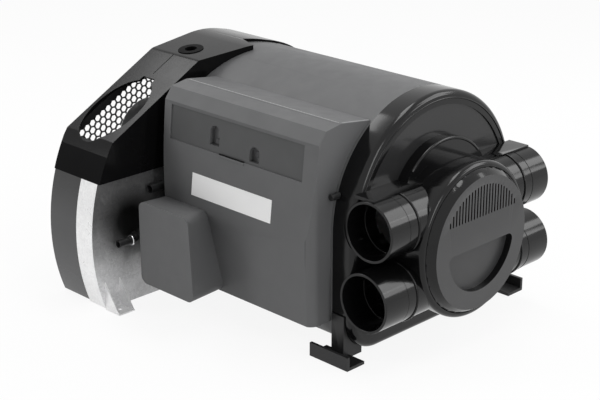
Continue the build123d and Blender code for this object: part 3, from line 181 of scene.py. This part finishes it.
def spread(tree, source, low, high, source_range=NOISE_RANGE):
    """Maps a range of the source to low and high."""
    node = tree.nodes.new("ShaderNodeMapRange")
    node.inputs["From Min"].default_value = source_range[0]
    node.inputs["From Max"].default_value = source_range[1]
    node.inputs["To Min"].default_value = low
    node.inputs["To Max"].default_value = high
    tree.links.new(source, node.inputs["Value"])
    return node.outputs["Result"]


def tint(tree, source, dark, light):
    node = tree.nodes.new("ShaderNodeMix")
    node.data_type = "RGBA"
    node.inputs[MIX_FIRST_COLOUR].default_value = (*dark, 1)
    node.inputs[MIX_SECOND_COLOUR].default_value = (*light, 1)
    tree.links.new(source, node.inputs[MIX_FACTOR])
    return node.outputs[MIX_COLOUR]


def relief(tree, shader, source, strength, height):
    node = tree.nodes.new("ShaderNodeBump")
    node.inputs["Strength"].default_value = strength
    node.inputs["Distance"].default_value = height
    tree.links.new(source, node.inputs["Height"])
    tree.links.new(node.outputs["Normal"], shader.inputs["Normal"])


def uneven_gloss(tree, shader, source, rough, shares, source_range=NOISE_RANGE):
    value = spread(tree, source, rough * shares[0], rough * shares[1], source_range)
    tree.links.new(value, shader.inputs["Roughness"])


def moulded_plastic(name, dark, light, rough, grain_scale, grain, specular):
    """Moulded plastic: cloudy base colour, fine grain and slightly uneven gloss."""
    material, tree, shader, coords = new_finish(name)
    cloud = noise(tree, coords, CLOUD_SCALE, 4.0).outputs["Fac"]
    tree.links.new(tint(tree, spread(tree, cloud, 0, 1), dark, light), shader.inputs["Base Color"])
    smear = noise(tree, coords, SMEAR_SCALE, 5.0).outputs["Fac"]
    uneven_gloss(tree, shader, smear, rough, PLASTIC_ROUGH_SHARES)
    fine = noise(tree, coords, grain_scale, 2.0).outputs["Fac"]
    relief(tree, shader, fine, grain, PLASTIC_RELIEF_HEIGHT)
    shader.inputs["Specular IOR Level"].default_value = specular
    return material


def bare_metal(name, dark, light, rough, mark_stretch, grain):
    """Metal with fine directional marks and clouded gloss."""
    material, tree, shader, coords = new_finish(name)
    shader.inputs["Metallic"].default_value = 1.0
    mapping = tree.nodes.new("ShaderNodeMapping")
    mapping.inputs["Scale"].default_value = mark_stretch
    tree.links.new(coords, mapping.inputs["Vector"])
    marks = tree.nodes.new("ShaderNodeTexNoise")
    marks.inputs["Scale"].default_value = METAL_MARK_SCALE
    marks.inputs["Detail"].default_value = 4.0
    tree.links.new(mapping.outputs["Vector"], marks.inputs["Vector"])
    cloud = noise(tree, coords, METAL_CLOUD_SCALE, 3.0).outputs["Fac"]
    tree.links.new(tint(tree, spread(tree, cloud, 0, 1), dark, light), shader.inputs["Base Color"])
    uneven_gloss(tree, shader, marks.outputs["Fac"], rough, METAL_ROUGH_SHARES)
    relief(tree, shader, marks.outputs["Fac"], grain, RELIEF_HEIGHT)
    return material


def spangled_zinc(name, dark, light, rough, metallic, heights, top_share):
    """Zinc-plated sheet: crystal spangle in cells of a few millimetres, with painted shade darkening
    it towards its top.
    """
    material, tree, shader, coords = new_finish(name)
    shader.inputs["Metallic"].default_value = metallic
    bend = noise(tree, coords, ZINC_BEND_SCALE, 4.0)
    shift = tree.nodes.new("ShaderNodeMix")
    shift.data_type = "VECTOR"
    shift.inputs[MIX_FACTOR].default_value = ZINC_BEND_SHARE
    tree.links.new(coords, shift.inputs[MIX_FIRST_VECTOR])
    tree.links.new(bend.outputs["Color"], shift.inputs[MIX_SECOND_VECTOR])
    cells = tree.nodes.new("ShaderNodeTexVoronoi")
    cells.inputs["Scale"].default_value = ZINC_CELL_SCALE
    tree.links.new(shift.outputs[MIX_VECTOR], cells.inputs["Vector"])
    cell = tree.nodes.new("ShaderNodeSeparateColor")
    tree.links.new(cells.outputs["Color"], cell.inputs[0])
    cloud = noise(tree, coords, ZINC_CLOUD_SCALE, 5.0).outputs["Fac"]
    mixed = tree.nodes.new("ShaderNodeMath")
    mixed.operation = "MULTIPLY_ADD"
    mixed.inputs[1].default_value = ZINC_CELL_SHARE
    tree.links.new(cell.outputs[0], mixed.inputs[0])
    tree.links.new(spread(tree, cloud, 0.0, ZINC_CLOUD_SHARE), mixed.inputs[2])
    spot = tree.nodes.new("ShaderNodeSeparateXYZ")
    tree.links.new(coords, spot.inputs[0])
    # Painted shade: the zinc's colour is darkened towards the top of the sheet.
    painted_top_shade = tree.nodes.new("ShaderNodeMix")
    painted_top_shade.data_type = "RGBA"
    painted_top_shade.blend_type = "MULTIPLY"
    painted_top_shade.inputs[MIX_FACTOR].default_value = 1.0
    zinc_colour = tint(tree, mixed.outputs[0], dark, light)
    tree.links.new(zinc_colour, painted_top_shade.inputs[MIX_FIRST_COLOUR])
    fade = spread(tree, spot.outputs["Z"], 1.0, top_share, heights)
    tree.links.new(fade, painted_top_shade.inputs[MIX_SECOND_COLOUR])
    tree.links.new(painted_top_shade.outputs[MIX_COLOUR], shader.inputs["Base Color"])
    uneven_gloss(tree, shader, cell.outputs[1], rough, ZINC_ROUGH_SHARES, (0, 1))
    relief(tree, shader, cell.outputs[2], ZINC_RELIEF, RELIEF_HEIGHT)
    return material


# Name, darkest and lightest colour, roughness, grain scale, grain and specular
PLASTICS = (
    ("moulded_grey", (0.098, 0.099, 0.101), (0.110, 0.111, 0.113), 0.55, 900, 0.25, 0.35),
    ("gloss_black", (0.0035, 0.0035, 0.0037), (0.005, 0.005, 0.0053), 0.13, 220, 0.03, 0.3),
    ("hood_black", (0.0035, 0.0035, 0.0037), (0.005, 0.005, 0.0053), 0.16, 220, 0.03, 0.12),
    # Painted reflection: a lighter copy of the gloss black for the end cap's flat face.
    ("cap_face_painted_reflection", (0.022, 0.022, 0.0225), (0.027, 0.027, 0.0275), 0.14, 220, 0.03, 0.3),
    ("hood_shade", (0.0035, 0.0035, 0.0037), (0.005, 0.005, 0.0053), 0.45, 220, 0.03, 0.02),
    ("recess_grey", (0.034, 0.034, 0.035), (0.040, 0.040, 0.041), 0.36, 500, 0.08, 0.35),
    # Painted shade: a darker copy of the box's grey for its sunk panel.
    ("panel_painted_shade", (0.066, 0.067, 0.068), (0.075, 0.076, 0.077), 0.55, 900, 0.25, 0.3),
    # Painted highlight: a light grey for the bead along the control box's ridge.
    ("ridge_painted_highlight", (0.30, 0.30, 0.302), (0.34, 0.34, 0.342), 0.4, 700, 0.1, 0.4),
    ("cover_grey", (0.044, 0.044, 0.045), (0.052, 0.052, 0.053), 0.32, 500, 0.08, 0.35),
    ("seam_black", (0.002, 0.002, 0.002), (0.004, 0.004, 0.004), 0.6, 300, 0.05, 0.1),
    ("satin_black", (0.012, 0.012, 0.0125), (0.017, 0.017, 0.0175), 0.42, 700, 0.3, 0.3),
    ("end_cover_grey", (0.038, 0.038, 0.04), (0.048, 0.048, 0.05), 0.24, 400, 0.06, 0.5),
    ("label_white", (0.84, 0.84, 0.84), (0.89, 0.89, 0.885), 0.4, 500, 0.05, 0.5),
    ("soft_rubber", (0.008, 0.008, 0.008), (0.014, 0.014, 0.013), 0.7, 600, 0.4, 0.2),
    ("board_green", (0.010, 0.09, 0.03), (0.014, 0.13, 0.05), 0.4, 300, 0.1, 0.5),
    ("relay_blue", (0.012, 0.03, 0.10), (0.015, 0.04, 0.13), 0.3, 300, 0.05, 0.5),
)
# Name, darkest and lightest colour, roughness, metallic, fading heights of the painted shade and what
# is left on top
ZINCS = (
    ("plate_zinc", (0.50, 0.50, 0.505), (0.86, 0.86, 0.87), 0.4, 0.35, (0.02, 0.125), 0.2),
    # Painted light: a lighter copy of the plate's zinc for the bent flange and the foot tab.
    ("flange_zinc_painted_light", (0.78, 0.78, 0.785), (1.0, 1.0, 1.0), 0.34, 0.3, (0.1, 0.2), 0.8),
)
# Name, darkest and lightest colour, roughness, stretch of the marks and grain
METALS = (
    ("plain_steel", (0.42, 0.42, 0.43), (0.55, 0.55, 0.56), 0.3, (40, 400, 400), 0.06),
    ("cast_aluminium", (0.52, 0.52, 0.53), (0.66, 0.66, 0.67), 0.42, (120, 120, 120), 0.15),
    ("fitting_brass", (0.55, 0.42, 0.20), (0.68, 0.54, 0.28), 0.24, (40, 400, 400), 0.06),
    ("pipe_copper", (0.60, 0.28, 0.16), (0.72, 0.36, 0.22), 0.25, (40, 400, 400), 0.06),
    ("fitting_chrome", (0.62, 0.62, 0.63), (0.80, 0.80, 0.81), 0.14, (40, 400, 400), 0.06),
    ("screw_steel", (0.05, 0.05, 0.052), (0.10, 0.10, 0.102), 0.35, (40, 400, 400), 0.06),
)
# Painted shade: shares of the base colour that are left, and where they fade
COVER_SHADE_SHARE = 0.22
COVER_SHADE_HEIGHTS = (0.115, 0.168)
PIPE_SHADE_SPOT = (-0.155, -0.165, 0.111)
PIPE_SHADE_SHARE = 0.05
PIPE_SHADE_RADII = (0.018, 0.05)


def shaded(finish, fade_of):
    """Paints shade into a finish: multiplies its base colour by a fade over the place on the heater.
    """
    tree = finishes[finish].node_tree
    shader = tree.nodes["Principled BSDF"]
    coords = tree.nodes.new("ShaderNodeTexCoord")
    colour = shader.inputs["Base Color"].links[0].from_socket
    mixing = tree.nodes.new("ShaderNodeMix")
    mixing.data_type = "RGBA"
    mixing.blend_type = "MULTIPLY"
    mixing.inputs[MIX_FACTOR].default_value = 1.0
    tree.links.new(colour, mixing.inputs[MIX_FIRST_COLOUR])
    tree.links.new(fade_of(tree, coords.outputs["Object"]), mixing.inputs[MIX_SECOND_COLOUR])
    tree.links.new(mixing.outputs[MIX_COLOUR], shader.inputs["Base Color"])


def painted_shade_under_hood(tree, coords):
    """Painted shade: the end cover is darker close under the hood."""
    spot = tree.nodes.new("ShaderNodeSeparateXYZ")
    tree.links.new(coords, spot.inputs[0])
    return spread(tree, spot.outputs["Z"], 1.0, COVER_SHADE_SHARE, COVER_SHADE_HEIGHTS)


def painted_shade_behind_pipes(tree, coords):
    """Painted shade: the plate is dark behind the pipes."""
    distance = tree.nodes.new("ShaderNodeVectorMath")
    distance.operation = "DISTANCE"
    distance.inputs[1].default_value = PIPE_SHADE_SPOT
    tree.links.new(coords, distance.inputs[0])
    return spread(tree, distance.outputs["Value"], PIPE_SHADE_SHARE, 1.0, PIPE_SHADE_RADII)


finishes = {row[0]: moulded_plastic(*row) for row in PLASTICS}
finishes.update({row[0]: spangled_zinc(*row) for row in ZINCS})
finishes.update({row[0]: bare_metal(*row) for row in METALS})
# Painted shade under the hood on the end cover.
shaded("end_cover_grey", painted_shade_under_hood)
# Painted shade on the zinc plate behind the pipes.
shaded("plate_zinc", painted_shade_behind_pipes)
slot_finish = {
    "grey_plastic": "moulded_grey",
    "black_gloss": "gloss_black",
    "black_satin": "satin_black",
    "dark_grey": "end_cover_grey",
    "zinc": "plate_zinc",
    "steel": "plain_steel",
    "aluminium": "cast_aluminium",
    "brass": "fitting_brass",
    "rubber": "soft_rubber",
    "label": "label_white",
    "board": "board_green",
    "relay": "relay_blue",
    "copper": "pipe_copper",
}
node_slot = {row["node"]: row["material_slot"] for row in frame["record"]["subparts"]}
node_body = {
    member: body
    for body, members in frame["record"]["behaviour"]["bodies"].items()
    for member in members
}


# The frame's own pieces, dressed
MERGE_DISTANCE = 0.00001
FLAT_ANGLE = 0.6
ROUNDING_SEGMENTS = 3
USUAL_EDGE_ANGLE = 40


def smooth_by_angle(mesh, degrees):
    """Smooth faces, with a hard edge wherever two faces meet at more than this angle."""
    form = bmesh.new()
    form.from_mesh(mesh)
    for face in form.faces:
        face.smooth = True
    for edge in form.edges:
        two_faces = len(edge.link_faces) == 2
        edge.smooth = two_faces and edge.calc_face_angle(0) < math.radians(degrees)
    form.to_mesh(mesh)
    form.free()


def dressed(node, width, angle, finish, joined_faces):
    """A copy of a node with its sharp edges rounded, which stands for the node."""
    name = node + "_shape"
    mesh = bpy.data.meshes.new(name)
    form = bmesh.new()
    form.from_mesh(nodes[node].data)
    bmesh.ops.remove_doubles(form, verts=form.verts, dist=MERGE_DISTANCE)
    if joined_faces:
        bmesh.ops.dissolve_limit(form, angle_limit=math.radians(FLAT_ANGLE), verts=form.verts,
                                 edges=form.edges, delimit={"NORMAL"})
    form.to_mesh(mesh)
    form.free()
    smooth_by_angle(mesh, angle)
    piece = bpy.data.objects.new(name, mesh)
    bpy.context.scene.collection.objects.link(piece)
    mesh.materials.append(finishes[finish])
    if width:
        rounding = piece.modifiers.new("rounded_edges", "BEVEL")
        rounding.width = width / PER_METRE
        rounding.segments = ROUNDING_SEGMENTS
        rounding.limit_method = "ANGLE"
        rounding.angle_limit = math.radians(angle)
        rounding.harden_normals = True
        rounding.miter_outer = "MITER_ARC"
    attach(piece, node_body[node])
    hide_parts(node)
    return piece


def refinished(node, extra_finishes, finish_index):
    """Gives faces of a dressed piece the finish that finish_index picks for them."""
    mesh = shown_pieces[node].data
    for finish in extra_finishes:
        mesh.materials.append(finishes[finish])
    for polygon in mesh.polygons:
        polygon.material_index = finish_index(polygon)


for node, obj in nodes.items():
    obj.data.materials.clear()
    obj.data.materials.append(finishes[slot_finish[node_slot[node]]])

rounding_of = {
    "drum_cover": 0.8, "drum_tray": 0.8, "end_cap": 1.2, "round_cover": 0.5,
    "outlet_sleeve_front_upper": 0.8, "outlet_sleeve_front_lower": 0.8,
    "outlet_sleeve_rear_upper": 0.8, "outlet_sleeve_rear_lower": 0.8,
    "control_box_cover": 2.0, "connection_cover": 2.5, "bulkhead": 0.3, "hood": 2.0,
    "intake_grille": 0.0, "cable_grommet": 0.6, "burner_end_cover": 1.6,
    "foot_front": 1.0, "foot_rear": 1.0, "cap_studs": 0.6, "control_box_screws": 0.3,
    "label_plate": 0.2, "pipe_nuts": 0.4, "exhaust_spigot": 0.4, "combustion_air_spigot": 0.5,
    "gas_inlet_pipe": 0.3, "hot_water_outlet": 0.3, "cold_water_inlet": 0.3,
    "circulation_fan_motor": 1.2, "circulation_fan_case": 0.8,
}
edge_angle_of = {"control_box_cover": 12, "hood": 24, "connection_cover": 24, "round_cover": 35}
# Faces with holes in them stay as they are in these
plain_meshes = {"round_cover", "end_cap", "intake_grille", "bulkhead"}
finish_of = {"round_cover": "cover_grey", "hood": "hood_black", "cable_grommet": "hood_shade",
             "control_box_screws": "screw_steel"}
shown_pieces = {}
for node, width in rounding_of.items():
    shown_pieces[node] = dressed(node, width, edge_angle_of.get(node, USUAL_EDGE_ANGLE),
                                 finish_of.get(node, slot_finish[node_slot[node]]),
                                 node not in plain_meshes)

# Limits that tell faces apart: directions as shares of a unit normal, places in metres
ACROSS = 0.5
FACING = 0.9
FLANGE_X = -0.1560
TAB_X = -0.1549
TAB_TOP = 0.039
CAP_FACE_XS = (0.1700, 0.1716)
PANEL_DEPTHS = (-0.0022, -0.0010)
COVER_HEIGHT = 0.133
COVER_BAND_RADIUS = 0.0835
COVER_RECESS_RADIUS = 0.075
RECESS_FLOOR_XS = (0.2345, 0.2375)

# The control box's upper front: its foot, its way up and its way out
brow_low = place(252, -181, 150)
brow_up = (place(252, -168, 268) - brow_low).normalized()
brow_out = Vector((0, -brow_up.z, brow_up.y))


def bulkhead_faces(polygon):
    """The bent flange and the foot tab get a lighter copy of the plate's zinc: painted light."""
    on_flange = abs(polygon.normal.x) < ACROSS and polygon.center.x < FLANGE_X
    on_tab = polygon.center.x > TAB_X and polygon.center.z < TAB_TOP
    return int(on_flange or on_tab)


def cap_faces(polygon):
    """The flat face round the hub gets a lighter black than the glossy rim: a painted reflection."""
    return int(CAP_FACE_XS[0] < polygon.center.x < CAP_FACE_XS[1] and polygon.normal.x > FACING)


def hood_faces(polygon):
    """The upright front face is plain and dull, the slopes above it are glossy."""
    return int(polygon.normal.y < -FACING)


def box_faces(polygon):
    """Painted shade: the sunk panel with the screw pockets gets a darker copy of the box's grey."""
    sunk = (polygon.center - brow_low).dot(brow_out)
    return int(PANEL_DEPTHS[0] < sunk < PANEL_DEPTHS[1] and polygon.normal.dot(brow_out) > FACING)


def cover_faces(polygon):
    """The slanted band and the recess wall are glossy, and the recess floor is darker."""
    from_axis = math.hypot(polygon.center.y - AXIS_Y / PER_METRE, polygon.center.z - COVER_HEIGHT)
    across = abs(polygon.normal.x) < ACROSS
    if from_axis > COVER_BAND_RADIUS or (across and from_axis < COVER_RECESS_RADIUS):
        return 1
    on_floor = RECESS_FLOOR_XS[0] < polygon.center.x < RECESS_FLOOR_XS[1]
    return 2 if on_floor and polygon.normal.x > FACING else 0


refinished("bulkhead", ["flange_zinc_painted_light"], bulkhead_faces)
refinished("end_cap", ["cap_face_painted_reflection"], cap_faces)
refinished("hood", ["hood_shade"], hood_faces)
refinished("control_box_cover", ["panel_painted_shade"], box_faces)
refinished("round_cover", ["gloss_black", "recess_grey"], cover_faces)


# Pieces too fine for the frame
FINE_MERGE_DISTANCE = 0.000005
BEAD_SIDES = 10
FULL_TURN = 360


def finished(name, form, finish):
    """Turns a shaped bmesh into a piece with its finish, riding the heater's body."""
    bmesh.ops.remove_doubles(form, verts=form.verts, dist=FINE_MERGE_DISTANCE)
    bmesh.ops.recalc_face_normals(form, faces=form.faces)
    mesh = bpy.data.meshes.new(name)
    form.to_mesh(mesh)
    form.free()
    smooth_by_angle(mesh, USUAL_EDGE_ANGLE)
    mesh.materials.append(finishes[finish])
    piece = bpy.data.objects.new(name, mesh)
    bpy.context.scene.collection.objects.link(piece)
    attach(piece, "heater_body")


def turned(first, second, third):
    """Turning matrix whose local axes point these three ways."""
    return Matrix((first, second, third)).transposed().to_4x4()


def bead(form, centre, axis, start, radius, sweep, steps, size):
    """Sweeps a small round section, size across, along an arc round the axis through centre."""
    made = bmesh.ops.create_circle(form, segments=BEAD_SIDES, radius=size / 2 / PER_METRE)["verts"]
    rim = Vector(start).normalized()
    spot = Matrix.Translation(centre + rim * radius / PER_METRE)
    turn = turned(rim, Vector(axis), rim.cross(Vector(axis)))
    bmesh.ops.transform(form, matrix=spot @ turn, verts=made)
    outline = list({edge for vert in made for edge in vert.link_edges})
    full = sweep == FULL_TURN
    bmesh.ops.spin(form, geom=outline + made, cent=centre, axis=Vector(axis),
                   angle=math.radians(sweep), steps=steps, use_merge=full)
    if not full:
        bmesh.ops.holes_fill(form, edges=form.edges, sides=0)


def ring(form, centre, axis, start, radius, steps, size):
    """A bead all the way round."""
    bead(form, centre, axis, start, radius, FULL_TURN, steps, size)


def bar(form, size, matrix, rounding=0.0):
    """A small block, its edges rounded, put in place by the matrix."""
    corners = bmesh.ops.create_cube(form, size=1.0)["verts"]
    bmesh.ops.scale(form, vec=Vector(size) / PER_METRE, verts=corners)
    if rounding:
        edges = list({edge for vert in corners for edge in vert.link_edges})
        rounded = bmesh.ops.bevel(form, geom=edges + corners, offset=rounding / PER_METRE,
                                  segments=2, affect="EDGES", profile=0.5, material=-1)
        corners = list({vert for face in rounded["faces"] for vert in face.verts})
        corners = list({vert for start in corners for face in start.link_faces for vert in face.verts})
    bmesh.ops.transform(form, matrix=matrix, verts=corners)


# Raised arch round the end cap's face, and the collar above the hub
arch_form = bmesh.new()
bead(arch_form, place(72.1, 0, 154), AXIS_X, (0, -1, 0.42), 141.5, -134, 96, 2.2)
bead(arch_form, place(60.5, 0, 168), AXIS_X, (0, -1, 0.9), 81.2, -96, 80, 5)
finished("cap_arch_bead", arch_form, "gloss_black")

# Rings at the roots and in the bores of the four outlets, and seams on the rear ones
OUTLET_BACK = 50
OUTLET_HEIGHTS = (172.5, 86.0)
ROOT_RING = (99.8, 37.2, 3.0)
BORE_RING = (116, 33.6, 1.2)
SEAM_RING = (115, 36.85, 1.0)
outlet_form = bmesh.new()
seam_form = bmesh.new()
for way in (-1, 1):
    for height in OUTLET_HEIGHTS:
        for out_from_axis, radius, size in (ROOT_RING, BORE_RING):
            ring(outlet_form, place(OUTLET_BACK, way * out_from_axis, height), AXIS_ACROSS, AXIS_X,
                 radius, 64, size)
        if way > 0:
            out_from_axis, radius, size = SEAM_RING
            ring(seam_form, place(OUTLET_BACK, out_from_axis, height), AXIS_ACROSS, AXIS_X,
                 radius, 64, size)
finished("outlet_rings", outlet_form, "gloss_black")
finished("outlet_seams", seam_form, "seam_black")

# Seam in the hood between the deck and the oval's notch
SEAM_RUN = 0.1435
hood_low = place(444.5, -241, 222)
hood_along = (place(444.5, -96, 300.5) - hood_low).normalized()
hood_out = Vector((0, -hood_along.z, hood_along.y))
hood_turn = turned(Vector(AXIS_X), hood_along, hood_out)
hood_seam_form = bmesh.new()
bar(hood_seam_form, (0.8, 40, 0.5), Matrix.Translation(hood_low + hood_along * SEAM_RUN) @ hood_turn)
finished("hood_seam", hood_seam_form, "seam_black")

# Latch lip between the two screw pockets, with a black strip above it: painted shadow along the slot
# over the lip
LIP_RUN = 0.0686
SLOT_RISE = 0.0024
SLOT_SINK = 0.0002
brow_turn = turned(Vector(AXIS_X), brow_up, brow_out)
lip_spot = brow_low + brow_up * LIP_RUN
lip_form = bmesh.new()
bar(lip_form, (46, 3.0, 2.4), Matrix.Translation(lip_spot) @ brow_turn, 0.7)
finished("latch_lip", lip_form, "moulded_grey")
slot_spot = lip_spot + brow_up * SLOT_RISE - brow_out * SLOT_SINK
slot_form = bmesh.new()
bar(slot_form, (44, 1.6, 0.6), Matrix.Translation(slot_spot) @ brow_turn)
finished("latch_slot_shadow", slot_form, "seam_black")

# Bright clamp rings on the two water pipes and the gas pipe: centre, radius and size
CLAMPS = (
    (place(389.5, -161, 150), 7.4, 3.2),
    (place(389.5, -161, 122), 7.4, 3.2),
    (place(388, -225, 90), 6.0, 2.4),
)
clamp_form = bmesh.new()
for centre, radius, size in CLAMPS:
    ring(clamp_form, centre, AXIS_ACROSS, AXIS_X, radius, 40, size)
finished("pipe_clamps", clamp_form, "fitting_chrome")

# Bright bead on the rim of the warm-air fan's case, seen through the hood's oval: a painted highlight
# along the rim
fan_rim_form = bmesh.new()
ring(fan_rim_form, place(474, -122, 192), AXIS_X, (0, -1, 0), 47.2, 72, 1.4)
finished("fan_case_rim_highlight", fan_rim_form, "cast_aluminium")

# Moulded ridge along the top of the control box and down its end, in a light grey that is a painted
# highlight along the edge
ridge_form = bmesh.new()
bar(ridge_form, (262, 1.5, 1.3), Matrix.Translation(place(243.5, -132, 287)), 0.5)
heel_along = (place(110, -82, 280.2) - place(110, -132, 287)).normalized()
heel_turn = turned(Vector(AXIS_X), heel_along, Vector((0, -heel_along.z, heel_along.y)))
bar(ridge_form, (1.3, 46, 1.1), Matrix.Translation(place(110.5, -106, 283.5)) @ heel_turn, 0.4)
finished("box_ridge_highlight", ridge_form, "ridge_painted_highlight")

# Pale studio floor: bright where it is seen, and it keeps the heater's shadow
FLOOR_HALF = 14.0
FLOOR_SINK = 0.0005
FLOOR_GREY = (0.9, 0.9, 0.9, 1)
FLOOR_ROUGHNESS = 0.9
FLOOR_LIGHT = 1.0
FLOOR_LIGHT_SHARE = 0.9
floor_form = bmesh.new()
bmesh.ops.create_grid(floor_form, x_segments=1, y_segments=1, size=FLOOR_HALF)
floor_mesh = bpy.data.meshes.new("studio_floor")
floor_form.to_mesh(floor_mesh)
floor_form.free()
floor = bpy.data.objects.new("studio_floor", floor_mesh)
bpy.context.scene.collection.objects.link(floor)
floor.location = (0, 0, -FLOOR_SINK)
floor_material = bpy.data.materials.new("studio_floor")
floor_material.use_nodes = True
floor_tree = floor_material.node_tree
floor_shader = floor_tree.nodes["Principled BSDF"]
floor_shader.inputs["Base Color"].default_value = FLOOR_GREY
floor_shader.inputs["Roughness"].default_value = FLOOR_ROUGHNESS
floor_shader.inputs["Specular IOR Level"].default_value = 0.0
floor_light = floor_tree.nodes.new("ShaderNodeEmission")
floor_light.inputs["Strength"].default_value = FLOOR_LIGHT
floor_share = floor_tree.nodes.new("ShaderNodeMath")
floor_share.operation = "MULTIPLY"
floor_share.inputs[1].default_value = FLOOR_LIGHT_SHARE
floor_mix = floor_tree.nodes.new("ShaderNodeMixShader")
floor_out = floor_tree.nodes["Material Output"]
floor_tree.links.new(seen_rays(floor_tree), floor_share.inputs[0])
floor_tree.links.new(floor_share.outputs[0], floor_mix.inputs[0])
floor_tree.links.new(floor_shader.outputs[0], floor_mix.inputs[1])
floor_tree.links.new(floor_light.outputs[0], floor_mix.inputs[2])
floor_tree.links.new(floor_mix.outputs[0], floor_out.inputs["Surface"])
floor_mesh.materials.append(floor_material)
